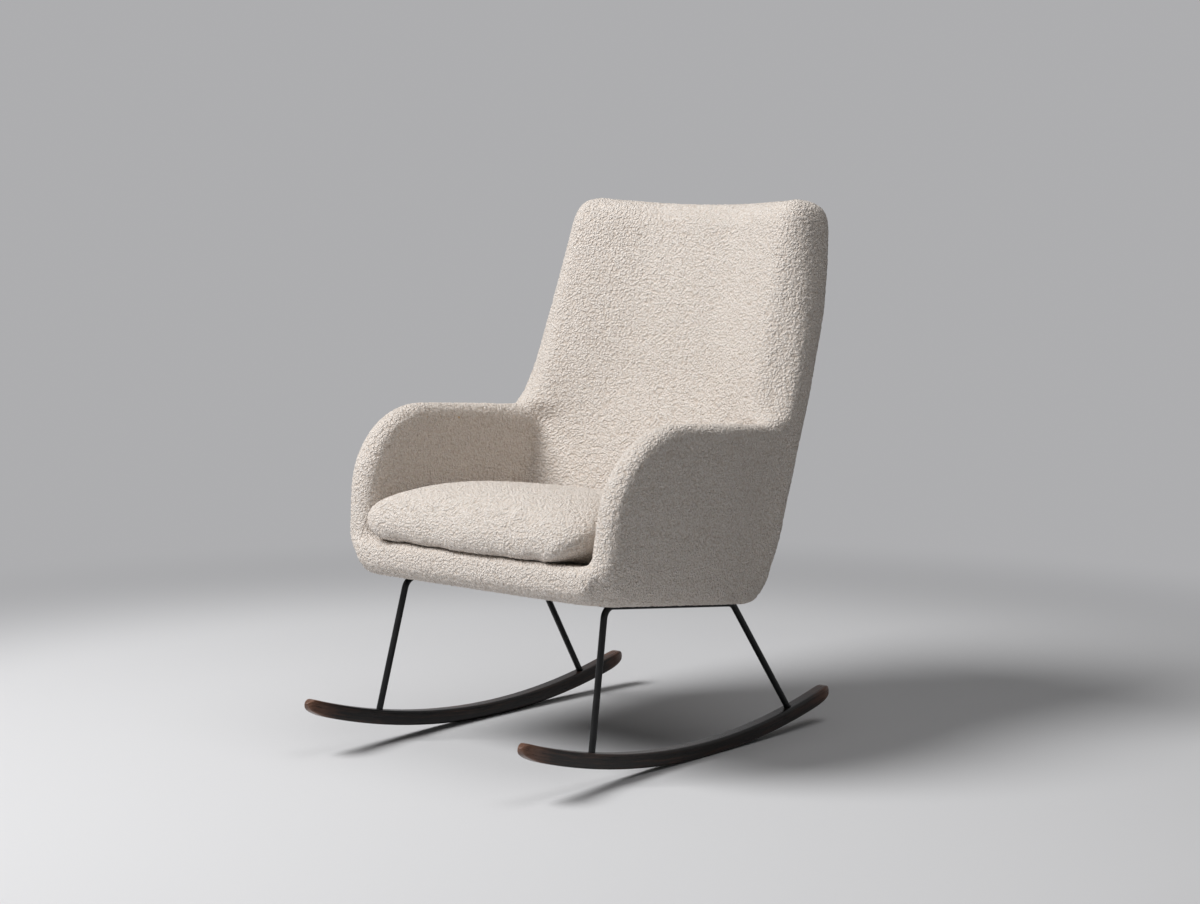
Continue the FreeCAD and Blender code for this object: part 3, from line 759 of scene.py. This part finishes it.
@dataclass(frozen=True)
class WovenCloth:
    """Plain woven cloth with its threads across and along the seat."""

    name: str
    warp: Colour
    weft: Colour
    threads: float
    fuzz: float = 900.0
    weave_tone: float = 0.6
    fuzz_tone: float = 0.4
    relief: float = 0.0005
    stops: tuple[float, ...] = (0.25, 0.75)

    def material(self) -> bpy.types.Material:
        """Make the cloth's material.

        Returns:
            The material.
        """
        sketch = Sketch(self.name)
        inputs = {"Vector": sketch.place, "Scale": self.threads}
        across, along = (
            sketch.add("ShaderNodeTexWave", inputs, bands_direction=axis).outputs["Fac"] for axis in "XY")
        weave = sketch.math("MULTIPLY", sketch.math("MAXIMUM", across, along), self.weave_tone)
        fuzz = sketch.math("MULTIPLY", sketch.noise(self.fuzz), self.fuzz_tone)
        tone = sketch.total(weave, fuzz)
        colour = sketch.colours(tone, self.stops, (self.weft, self.warp))
        sketch.bump(tone, strength=0.5, distance=self.relief)
        return sketch.finish(Base_Color=colour, Roughness=0.9, Specular_IOR_Level=0.2)


@dataclass
class UpholsteredShell:
    """The padded back, arms and seat deck under one boucle cover.

    A name that ends in side is a stretch of distances from the middle, in v one along the seat, in w
    one of heights over it, and in depth a share of the back's thickness.
    """

    seat: SeatFrame
    yarn: BoucleYarn
    cloth: bpy.types.Material
    voxel: float = 0.005
    crease: float = 0.010
    soft_rounds: int = 9
    joint_rounds: int = 60
    joint_side: Reach = Reach(0.235, 0.275)
    joint_v: Reach = Reach(0.24, 0.30)
    joint_low_w: Reach = Reach(0.24, 0.30)
    joint_high_w: Reach = Reach(0.42, 0.50)
    foot_v: Reach = Reach(0.33, 0.38)
    foot_w: Reach = Reach(0.06, 0.14)
    wing_rounds: int = 70
    soft_wing_side: Reach = Reach(0.17, 0.22)
    soft_wing_w: Reach = Reach(0.36, 0.46)
    soft_wing_depth: Reach = Reach(0.6, 1.0)
    shoulder_side: Reach = Reach(0.18, 0.24)
    shoulder_w: Reach = Reach(0.62, 0.69)
    back_foot: float = 0.308
    back_lean: float = math.tan(math.radians(9.6))
    back_depth: float = 0.086
    before_depth: Reach = Reach(-1.2, -0.6)
    front_depth: Reach = Reach(0.2, 0.8)
    rear_depth: Reach = Reach(0.45, 0.95)
    hollow: float = 0.014
    wing_x: float = 0.255
    wing_rise: float = 0.019
    wing_slope: Reach = Reach(0.30, 1.0)
    wing_end: Reach = Reach(1.0, 1.20)
    wing_w: Reach = Reach(0.25, 0.42)
    profile_half: float = 0.40
    profile_points: int = 801
    blur_reach: float = 3.0
    blur_points: int = 61
    arm_top: float = 0.335
    flare: float = 0.020
    flare_spread: float = 0.3
    flare_height: float = 0.045
    flare_blend: float = 0.04
    flare_side: Reach = Reach(0.20, 0.27)
    heel: float = 0.014
    heel_w: Reach = Reach(0.03, 0.16)
    heel_fade: float = 0.50
    heel_fade_side: Reach = Reach(0.235, 0.272)
    heel_fade_w: Reach = Reach(0.035, 0.075)
    lean_in: float = 0.005
    lean_in_w: Reach = Reach(0.15, 0.45)
    top_dip: float = 0.010
    top_w: Reach = Reach(0.56, 0.72)
    peak_x: float = 0.246
    peak_rise: float = 0.3
    corner_side: Reach = Reach(0.20, 0.29)
    corner_depth: Reach = Reach(0.30, 0.95)
    rounder: float = 0.0085
    rounder_low_w: Reach = Reach(0.08, 0.20)
    rounder_high_w: Reach = Reach(0.24, 0.46)
    squarer: float = 0.0045
    squarer_w: Reach = Reach(0.44, 0.56)
    tuck: float = 0.003
    tuck_side: Reach = Reach(0.22, 0.27)
    tuck_w: Reach = Reach(0.43, 0.53)
    tuck_depth: Reach = Reach(0.2, 0.7)
    arm_shift: float = 0.011
    arm_side: Reach = Reach(0.230, 0.252)
    arm_v: Reach = Reach(0.18, 0.33)
    arm_low_w: Reach = Reach(0.0, 0.07)
    arm_high_w: Reach = Reach(0.36, 0.46)
    foot_centre: float = 0.048
    foot_fill: float = 0.004
    foot_fill_side: Reach = Reach(0.235, 0.285)
    sole: float = 0.0035
    sole_top: float = 0.02
    wrap: float = 0.0028
    wrap_w: Reach = Reach(0.0, 0.012)
    edge_x: float = 0.278
    edge_reach: float = 0.052
    edge_most: float = 1.1
    edge_lift: float = 0.017
    edge_w: Reach = Reach(0.02, 0.09)
    stuffed: tuple[str, ...] = (
        "back_cover", "back_foam", "arm_cover_right", "arm_foam_right", "arm_cover_left", "arm_foam_left",
        "seat_cover", "seat_foam")
    inside: tuple[str, ...] = (
        "back_post_right", "back_post_left", "back_top_rail", "back_lower_rail", "seat_panel", "dust_cover",
        "arm_panel_right", "arm_panel_left", "seat_webbing", "back_webbing")

    def build(self) -> bpy.types.Object:
        """Model the shell.

        Returns:
            The finished piece.
        """
        piece = copy_nodes("upholstered_shell", self.stuffed + self.inside)
        reskin(piece, self.voxel)
        self.fill_creases(piece)
        self.soften(piece)
        self.shape_back(piece)
        self.shape_edges(piece)
        self.shape_top(piece)
        self.turn_under(piece)
        apply_modifier(piece, "SUBSURF", levels=1, render_levels=1)
        self.yarn.raise_loops(piece)
        shade_smooth(piece)
        piece.data.materials.append(self.cloth)
        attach(piece, Body.CHAIR.value)
        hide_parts(*self.stuffed)
        return piece

    def back_share(self, v: np.ndarray, w: np.ndarray) -> np.ndarray:
        """Tell how deep places lie in the back.

        Args:
            v: Places along the seat.
            w: Heights square to the seat.

        Returns:
            Shares of the back's thickness, 0 at its front and 1 at its rear.
        """
        return (v - self.back_foot - self.back_lean * w) / self.back_depth

    def fill_creases(self, piece: bpy.types.Object) -> None:
        """Round the hollow corners between the back, the arms and the deck.

        Args:
            piece: The shell.
        """
        for strength in (self.crease, -self.crease):
            apply_modifier(piece, "DISPLACE", strength=strength, mid_level=0.0)
            reskin(piece, self.voxel)

    def soften(self, piece: bpy.types.Object) -> None:
        """Smooth the padding all over, and more where the back meets the arms and on its wings.

        Args:
            piece: The shell.
        """
        x, v, w = self.seat.measure(read_points(piece))
        side = np.abs(x)
        depth = self.back_share(v, w)
        smooth_where(piece, np.ones(len(x)), self.soft_rounds)
        joint = self.joint_side.up(side) * self.joint_v.up(v)
        joint *= self.joint_low_w.up(w) * self.joint_high_w.down(w)
        foot = self.foot_w.down(w) * self.foot_v.up(v)
        smooth_where(piece, np.maximum(joint, foot), self.joint_rounds)
        wing = self.soft_wing_side.up(side) * self.soft_wing_w.up(w) * self.soft_wing_depth.down(depth)
        shoulder = self.shoulder_side.up(side) * self.shoulder_w.up(w)
        smooth_where(piece, np.maximum(wing, shoulder), self.wing_rounds)

    def shape_back(self, piece: bpy.types.Object) -> None:
        """Hollow the back's front between two soft wings, and draw its heel in.

        Args:
            piece: The shell.
        """
        x, v, w = self.seat.measure(read_points(piece))
        side = np.abs(x)
        depth = self.back_share(v, w)
        front = self.front_depth.down(depth) * self.before_depth.up(depth)
        wing = self.wing_profile(side) * self.wing_w.up(w)
        near_arm = np.exp(-np.clip(w - self.arm_top, 0.0, None) / self.flare_height)
        near_arm *= self.flare_side.up(side) * Reach(self.arm_top - self.flare_blend, self.arm_top).up(w)
        heel = self.heel * self.heel_w.down(w) + self.lean_in * self.lean_in_w.down(w)
        heel *= 1.0 - self.heel_fade * self.heel_fade_side.up(side) * self.heel_fade_w.down(w)
        v = v + (wing - self.flare * near_arm) * front - heel * self.rear_depth.up(depth)
        x = x + np.sign(x) * self.flare_spread * self.flare * near_arm * front
        write_points(piece, self.seat.place(x, v, w))

    def wing_profile(self, side: np.ndarray) -> np.ndarray:
        """Tell how far the back's front moves to the rear at a distance from its middle.

        Args:
            side: Distances from the middle.

        Returns:
            The move for each distance, negative on the wings.
        """
        grid = np.linspace(-self.profile_half, self.profile_half, self.profile_points)
        across = np.abs(grid) / self.wing_x
        inner = self.hollow - (self.hollow + self.wing_rise) * self.wing_slope.up(across)
        outer = -self.wing_rise * self.wing_end.down(across)
        reach = np.linspace(-self.blur_reach, self.blur_reach, self.blur_points)
        blur = np.exp(-0.5 * reach ** 2)
        soft = np.convolve(np.where(across < 1.0, inner, outer), blur / blur.sum(), mode="same")
        return np.interp(side, grid, soft)

    def shape_edges(self, piece: bpy.types.Object) -> None:
        """Round the rear corners beside the arms, square them higher up, and fill the arms' outer sides.

        Args:
            piece: The shell.
        """
        x, v, w = self.seat.measure(read_points(piece))
        side = np.abs(x)
        depth = self.back_share(v, w)
        inward = self.rounder * self.rounder_low_w.up(w) * self.rounder_high_w.down(w)
        inward -= self.squarer * self.squarer_w.up(w)
        inward *= math.sqrt(0.5) * self.corner_side.up(side) * self.corner_depth.up(depth)
        tuck = self.tuck * self.tuck_side.up(side) * self.tuck_depth.down(depth) * self.tuck_w.up(w)
        shift = self.arm_shift * self.arm_side.up(side) * self.arm_v.down(v)
        shift *= self.arm_low_w.up(w) * self.arm_high_w.down(w)
        x = x - np.sign(x) * (inward + tuck - shift)
        ahead = np.clip(-self.foot_centre - v, 0.0, None)
        below = np.clip(self.foot_centre - w, TINY, None)
        turn = np.arctan2(ahead, below)
        fill = self.foot_fill * np.sin(2.0 * turn) ** 2 * self.foot_fill_side.down(side)
        v = v - inward - fill * np.sin(turn)
        write_points(piece, self.seat.place(x, v, w - fill * np.cos(turn)))

    def shape_top(self, piece: bpy.types.Object) -> None:
        """Draw the top edge down between its two raised corners.

        Args:
            piece: The shell.
        """
        x, v, w = self.seat.measure(read_points(piece))
        dip = self.top_dip * np.clip(1.0 - (x / self.peak_x) ** 2, -self.peak_rise, 1.0)
        write_points(piece, self.seat.place(x, v, w - dip * self.top_w.up(w)))

    def turn_under(self, piece: bpy.types.Object) -> None:
        """Wrap the cover under the seat panel's edges and leave room for the dust cover between them.

        Args:
            piece: The shell.
        """
        x, v, w = self.seat.measure(read_points(piece))
        side = np.abs(x)
        sheet_x, sheet_v, _ = self.seat.measure(read_points(frame["nodes"]["dust_cover"]))
        under = (side < sheet_x.max()) & (v > sheet_v.min()) & (v < sheet_v.max()) & (w < self.sole_top)
        wrapped = w - self.wrap * self.wrap_w.down(w)
        w = np.where(under, np.maximum(w, self.sole), wrapped)
        outward = np.clip((side - self.edge_x) / self.edge_reach, 0.0, self.edge_most)
        w = w + self.edge_lift * outward * self.edge_w.down(w)
        write_points(piece, self.seat.place(x, v, w))


@dataclass
class SeatCushion:
    """The loose seat cushion, filled by a pressure simulation.

    A name that ends in front is a stretch of distances before the front rail, and the other endings
    are those of the shell.
    """

    seat: SeatFrame
    yarn: BoucleYarn
    cloth: bpy.types.Material
    voxel: float = 0.005
    shrink: float = 0.003
    pressure: float = 4.0
    solver_steps: int = 5
    fabric_mass: float = 0.3
    fabric_stiffness: float = 12.0
    fabric_bending: float = 0.8
    frames: int = 20
    most_swell: float = 0.018
    soft_rounds: int = 5
    deck: float = 0.0635
    half_width: float = 0.2525
    widen: float = 0.011
    widen_side: Reach = Reach(0.08, 0.24)
    widen_v: Reach = Reach(0.18, 0.33)
    left_ear: float = 0.016
    right_ear: float = 0.004
    ear_forward: float = 0.5
    ear_side: Reach = Reach(0.14, 0.245)
    ear_front: Reach = Reach(0.0, 0.085)
    ear_limit_front: Reach = Reach(0.074, 0.108)
    front_fill: float = 0.007
    fill_front: Reach = Reach(0.05, 0.10)
    fill_w: Reach = Reach(0.085, 0.125)
    draw_in: float = 0.022
    draw_in_side: Reach = Reach(0.14, 0.25)
    drawn_height: float = 0.070
    end_draw_in: float = 0.042
    end_x: Reach = Reach(0.10, 0.20)
    end_front: Reach = Reach(0.0, 0.06)
    lip_drop: float = 0.004
    lip_front: Reach = Reach(0.08, 0.11)
    lip_w: Reach = Reach(0.07, 0.13)
    round_rounds: int = 28
    round_x: Reach = Reach(0.12, 0.19)
    round_front: Reach = Reach(-0.03, 0.04)
    round_above: float = 0.012
    replaced: tuple[str, ...] = ("cushion_core", "cushion_cover", "cushion_underside")

    def build(self) -> bpy.types.Object:
        """Model the cushion.

        Returns:
            The finished piece.
        """
        piece = copy_nodes("seat_cushion", self.replaced)
        reskin(piece, self.voxel)
        self.fill(piece)
        smooth_where(piece, np.ones(len(piece.data.vertices)), self.soft_rounds)
        self.seat_on_deck(piece)
        self.round_end(piece)
        apply_modifier(piece, "SUBSURF", levels=1, render_levels=1)
        self.yarn.raise_loops(piece)
        shade_smooth(piece)
        piece.data.materials.append(self.cloth)
        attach(piece, Body.CUSHION.value)
        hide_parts(*self.replaced)
        return piece

    def fill(self, piece: bpy.types.Object) -> None:
        """Draw the cushion in and swell it again under pressure, no further than the fabric lets it.

        Args:
            piece: The cushion.
        """
        apply_modifier(piece, "DISPLACE", strength=-self.shrink, mid_level=0.0)
        slack = read_points(piece)
        cloth = piece.modifiers.new("filling", "CLOTH")
        cloth.settings.quality = self.solver_steps
        cloth.settings.mass = self.fabric_mass
        cloth.settings.tension_stiffness = self.fabric_stiffness
        cloth.settings.compression_stiffness = self.fabric_stiffness
        cloth.settings.bending_stiffness = self.fabric_bending
        cloth.settings.use_pressure = True
        cloth.settings.uniform_pressure_force = self.pressure
        cloth.settings.effector_weights.gravity = 0.0
        cloth.point_cache.frame_start = 1
        cloth.point_cache.frame_end = self.frames
        scene = bpy.context.scene
        for number in range(1, self.frames + 1):
            scene.frame_set(number)
        activate(piece)
        bpy.ops.object.modifier_apply(modifier=cloth.name)
        scene.frame_set(1)
        moved = read_points(piece) - slack
        length = np.linalg.norm(moved, axis=1, keepdims=True)
        share = self.most_swell * np.tanh(length / self.most_swell) / np.maximum(length, TINY)
        write_points(piece, slack + moved * share)

    def seat_on_deck(self, piece: bpy.types.Object) -> None:
        """Press the underside flat on the deck and keep the sides between the arms.

        Args:
            piece: The cushion.
        """
        x, v, w = self.seat.measure(read_points(piece))
        side = np.abs(x)
        ear = np.where(x < 0.0, self.left_ear, self.right_ear)
        widen = self.widen * self.widen_v.down(v)
        corner = ear * self.ear_side.up(side) * self.ear_front.up(-v)
        limit = self.half_width + widen + ear * self.ear_limit_front.up(-v)
        x = np.clip(x + np.sign(x) * (corner + widen * self.widen_side.up(side)), -limit, limit)
        v = v - self.ear_forward * corner - self.front_fill * self.fill_front.up(-v) * self.fill_w.down(w)
        w = np.maximum(w, self.deck)
        low = np.clip(1.0 - (w - self.deck) / self.drawn_height, 0.0, 1.0)
        draw_in = self.draw_in + self.end_draw_in * self.end_x.up(x) * self.end_front.up(-v)
        draw_in *= (1.0 - np.sqrt(1.0 - low ** 2)) * self.draw_in_side.up(side)
        x = x - np.sign(x) * draw_in
        w = w - self.lip_drop * self.lip_front.up(-v) * self.lip_w.down(w)
        write_points(piece, self.seat.place(x, v, w))

    def round_end(self, piece: bpy.types.Object) -> None:
        """Round the front right end, which shows between the deck and the arm.

        Args:
            piece: The cushion.
        """
        x, v, w = self.seat.measure(read_points(piece))
        above = Reach(self.deck, self.deck + self.round_above)
        end = self.round_x.up(x) * self.round_front.up(-v) * above.up(w)
        smooth_where(piece, end, self.round_rounds)


@dataclass
class Underside:
    """The black dust cloth under the seat and the elastic straps inside."""

    cloth: bpy.types.Material
    strap_cloth: bpy.types.Material
    flat: Span = (0.486, 0.402)
    sharp_angle: float = math.radians(30.0)

    def build(self) -> list[bpy.types.Object]:
        """Model the dust cloth and the straps.

        Returns:
            The finished pieces.
        """
        sheet = copy_nodes("dust_cloth", ("dust_cover",))
        self.dress(sheet, self.cloth, "dust_cover", Slot.DUST_CLOTH)
        pieces = [sheet]
        for name in ("seat_webbing", "back_webbing"):
            straps = copy_nodes(name.replace("webbing", "straps"), (name,))
            self.dress(straps, self.strap_cloth, name, Slot.WEBBING)
            pieces.append(straps)
        return pieces

    def dress(self, piece: bpy.types.Object, cloth: bpy.types.Material, node: str, slot: Slot) -> None:
        """Give a piece its cloth and its place on the chair.

        Args:
            piece: The piece.
            cloth: Its material.
            node: The node that it stands for.
            slot: Not used.
        """
        activate(piece)
        bpy.ops.object.shade_smooth_by_angle(angle=self.sharp_angle)
        piece.data.materials.append(cloth)
        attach(piece, Body.CHAIR.value)
        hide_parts(node)


@dataclass
class Rocker:
    """One curved wooden runner with a drawn-out, rounded nose at each end."""

    node: str
    wood: bpy.types.Material
    radius: float = ROCKER_RADIUS
    balance_y: float = ROCKER_BALANCE_Y
    height: float = 0.027
    voxel: float = 0.0016
    soft_rounds: int = 3
    under_nose: float = 0.058
    over_nose: float = 0.020
    side_nose: float = 0.034
    nose_height: float = 0.60
    blunt: float = 0.0012

    def build(self) -> bpy.types.Object:
        """Model the rocker.

        Returns:
            The finished piece.
        """
        piece = copy_nodes(f"{self.node}_runner", (self.node,))
        reskin(piece, self.voxel)
        smooth_where(piece, np.ones(len(piece.data.vertices)), self.soft_rounds)
        self.draw_noses(piece)
        shade_smooth(piece)
        piece.data.materials.append(self.wood)
        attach(piece, Body.CHAIR.value)
        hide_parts(self.node)
        return piece

    def draw_noses(self, piece: bpy.types.Object) -> None:
        """Draw both ends out to a rounded nose.

        Args:
            piece: The rocker.
        """
        points = read_points(piece)
        back = points[:, 1] - self.balance_y
        drop = self.radius - points[:, 2]
        along = np.arctan2(back, drop) * self.radius
        level = (self.radius - np.hypot(back, drop)) / self.height
        from_tip = np.minimum(along - along.min(), along.max() - along) + self.blunt
        reach = np.where(level > self.nose_height, self.over_nose, self.under_nose)
        level = self.nose_height + (level - self.nose_height) * self.taper(from_tip, reach)
        middle = 0.5 * (points[:, 0].min() + points[:, 0].max())
        side = middle + (points[:, 0] - middle) * self.taper(from_tip, self.side_nose)
        distance = self.radius - level * self.height
        angle = along / self.radius
        write_points(piece, np.column_stack((
            side, self.balance_y + distance * np.sin(angle), self.radius - distance * np.cos(angle))))

    @staticmethod
    def taper(from_tip: np.ndarray, reach: np.ndarray | float) -> np.ndarray:
        """Tell how much of the section is left near a tip, on a quarter ellipse.

        Args:
            from_tip: Distances from the tip.
            reach: How long the nose is.

        Returns:
            The share that is left, up to 1.
        """
        return np.sqrt(1.0 - (1.0 - np.clip(from_tip / reach, 0.0, 1.0)) ** 2)


@dataclass
class HardParts:
    """The rod base, the fixings and the wooden frame, which keep their own shapes."""

    finishes: dict[str, bpy.types.Material] = field(default_factory=dict)

    def prepare(self) -> None:
        """Make one material for each kind of hard part."""
        coat = SatinBlack().material()
        fixing = SatinBlack("black_oxide", rubbed=(0.034, 0.033, 0.032, 1.0)).material()
        zinc = ZincPlate().material()
        timber = RawTimber("frame_timber", stretch=(1.0, 1.0, 0.06), scale=90.0).material()
        rail_timber = RawTimber("rail_timber", stretch=(0.06, 1.0, 1.0), scale=90.0).material()
        plywood = RawTimber("birch_plywood", stretch=(0.10, 0.10, 1.0), scale=160.0,
                            early=(0.70, 0.53, 0.34, 1.0), late=(0.55, 0.38, 0.22, 1.0)).material()
        groups = (
            (coat, ("side_frame_right", "side_frame_left", "front_cross_rail", "rear_cross_rail",
                    "mounting_tabs")),
            (fixing, ("leg_screws", "frame_bolts", "bolt_washers")),
            (zinc, ("tee_nuts", "frame_screws")),
            (timber, ("back_post_right", "back_post_left")),
            (rail_timber, ("back_top_rail", "back_lower_rail")),
            (plywood, ("seat_panel", "arm_panel_right", "arm_panel_left")),
        )
        for material, nodes in groups:
            for node in nodes:
                self.finishes[node] = material

    def dress(self) -> None:
        """Give each hard part its material."""
        for node, material in self.finishes.items():
            piece = frame["nodes"][node]
            if not piece.material_slots:
                piece.data.materials.append(material)
            for holder in piece.material_slots:
                holder.material = material


@dataclass(frozen=True)
class Studio:
    """A pale floor, a large soft lamp in front of the chair, a weak one overhead, and a dim surround."""

    floor_colour: Colour = (0.64, 0.64, 0.65, 1.0)
    wall_colour: Colour = (0.42, 0.42, 0.43, 1.0)
    far_floor_colour: Colour = (0.30, 0.30, 0.31, 1.0)
    floor_radius: float = 30.0
    floor_clear: float = 1.25
    floor_fade: float = 2.6
    surround: float = 0.055
    key_power: float = 368.0
    key_size: float = 2.8
    key_place: Place = (-1.97, -3.22, 4.50)
    top_power: float = 38.0
    top_size: float = 3.0
    top_place: Place = (1.35, 0.30, 4.30)
    target: Place = (0.0, 0.05, 0.55)

    def build(self) -> None:
        """Set up the floor, the lamps and the surround."""
        self.lay_floor()
        self.hang_lamp("key", self.key_place, self.key_size, self.key_power)
        self.hang_lamp("top", self.top_place, self.top_size, self.top_power)
        self.light_surround()

    def lay_floor(self) -> None:
        """Lay a pale floor that fades to the surround's grey."""
        bpy.ops.object.select_all(action="DESELECT")
        bpy.ops.mesh.primitive_circle_add(vertices=96, radius=self.floor_radius, fill_type="NGON")
        floor = bpy.context.object
        floor.name = "floor"
        sketch = Sketch("pale_floor")
        distance = sketch.add("ShaderNodeVectorMath", {0: sketch.place}, operation="LENGTH").outputs["Value"]
        far = sketch.rise(distance, self.floor_clear, self.floor_fade)
        shown = sketch.math("MULTIPLY", far, self.seen(sketch.tree))
        glow = sketch.add("ShaderNodeEmission", {"Color": self.wall_colour, "Strength": 1.0})
        mix = sketch.add("ShaderNodeMixShader", {
            "Fac": shown, 1: sketch.shader.outputs["BSDF"], 2: glow.outputs["Emission"]})
        sketch.tree.links.new(mix.outputs["Shader"], sketch.tree.nodes["Material Output"].inputs["Surface"])
        colour = sketch.colours(far, (0.0, 1.0), (self.floor_colour, self.far_floor_colour))
        floor.data.materials.append(sketch.finish(Base_Color=colour, Roughness=0.85))

    def seen(self, tree: bpy.types.NodeTree) -> bpy.types.NodeSocket:
        """Tell the rays that show a background from those that light the object.

        Args:
            tree: The node tree that gets the nodes.

        Returns:
            The socket that holds 1 for a ray that shows the background.
        """
        path = tree.nodes.new("ShaderNodeLightPath")
        total = path.outputs["Is Camera Ray"]
        for name in ("Is Glossy Ray", "Is Transmission Ray"):
            either = tree.nodes.new("ShaderNodeMath")
            either.operation = "MAXIMUM"
            tree.links.new(total, either.inputs[0])
            tree.links.new(path.outputs[name], either.inputs[1])
            total = either.outputs[0]
        return total

    def hang_lamp(self, name: str, place: Place, size: float, power: float) -> None:
        """Hang a large soft lamp.

        Args:
            name: The lamp's name.
            place: Where it hangs.
            size: How wide its round face is.
            power: Its power in watts.
        """
        lamp = bpy.data.lights.new(name, "AREA")
        lamp.shape = "DISK"
        lamp.size = size
        lamp.energy = power
        aim(name, lamp, place, self.target)

    def light_surround(self) -> None:
        """Light the scene evenly from all round, and show a plain grey to the camera."""
        world = bpy.data.worlds.new("surround")
        bpy.context.scene.world = world
        world.use_nodes = True
        tree = world.node_tree
        light = tree.nodes["Background"]
        light.inputs["Color"].default_value = (1.0, 1.0, 1.0, 1.0)
        light.inputs["Strength"].default_value = self.surround
        backdrop = tree.nodes.new("ShaderNodeBackground")
        backdrop.inputs["Color"].default_value = self.wall_colour
        backdrop.inputs["Strength"].default_value = 1.0
        mix = tree.nodes.new("ShaderNodeMixShader")
        tree.links.new(self.seen(tree), mix.inputs["Fac"])
        tree.links.new(light.outputs["Background"], mix.inputs[1])
        tree.links.new(backdrop.outputs["Background"], mix.inputs[2])
        tree.links.new(mix.outputs["Shader"], tree.nodes["World Output"].inputs["Surface"])


@dataclass(frozen=True)
class ViewCamera:
    """A camera off the chair's front corner on the right rocker's side, about as high as the back."""

    place: Place = (2.9264, -3.2970, 1.0324)
    target: Place = (0.00554, 0.06314, 0.53021)
    lens: float = 72.75
    sensor: float = 36.0
    sight: float = 100.0

    def build(self) -> None:
        """Place the camera."""
        lens = bpy.data.cameras.new("camera")
        lens.lens = self.lens
        lens.sensor_width = self.sensor
        lens.sensor_fit = "HORIZONTAL"
        lens.clip_end = self.sight
        bpy.context.scene.camera = aim("camera", lens, self.place, self.target)


def main() -> None:
    """Build the chair's pieces, the studio and the camera, and note the sizes."""
    logging.basicConfig(level=logging.INFO, format="%(name)s: %(message)s")
    bpy.context.scene.view_settings.view_transform = "Standard"
    seat = SeatFrame()
    yarn = BoucleYarn()
    cloth = yarn.material()
    hard = HardParts()
    hard.prepare()
    hard.dress()
    lining = WovenCloth("dust_cloth", warp=(0.012, 0.012, 0.013, 1.0), weft=(0.004, 0.004, 0.004, 1.0),
                        threads=420.0).material()
    strap = WovenCloth("elastic_strap", warp=(0.10, 0.075, 0.05, 1.0), weft=(0.03, 0.025, 0.02, 1.0),
                       threads=300.0).material()
    pieces = [UpholsteredShell(seat, yarn, cloth).build(), SeatCushion(seat, yarn, cloth).build()]
    pieces += Underside(lining, strap).build()
    wood = StainedWood().material()
    pieces += [Rocker(node, wood).build() for node in ("rocker_right", "rocker_left")]
    for piece in pieces:
        LOG.info("%s: %d faces", piece.name, len(piece.data.polygons))
    Studio().build()
    ViewCamera().build()


if __name__ == "__main__":
    main()
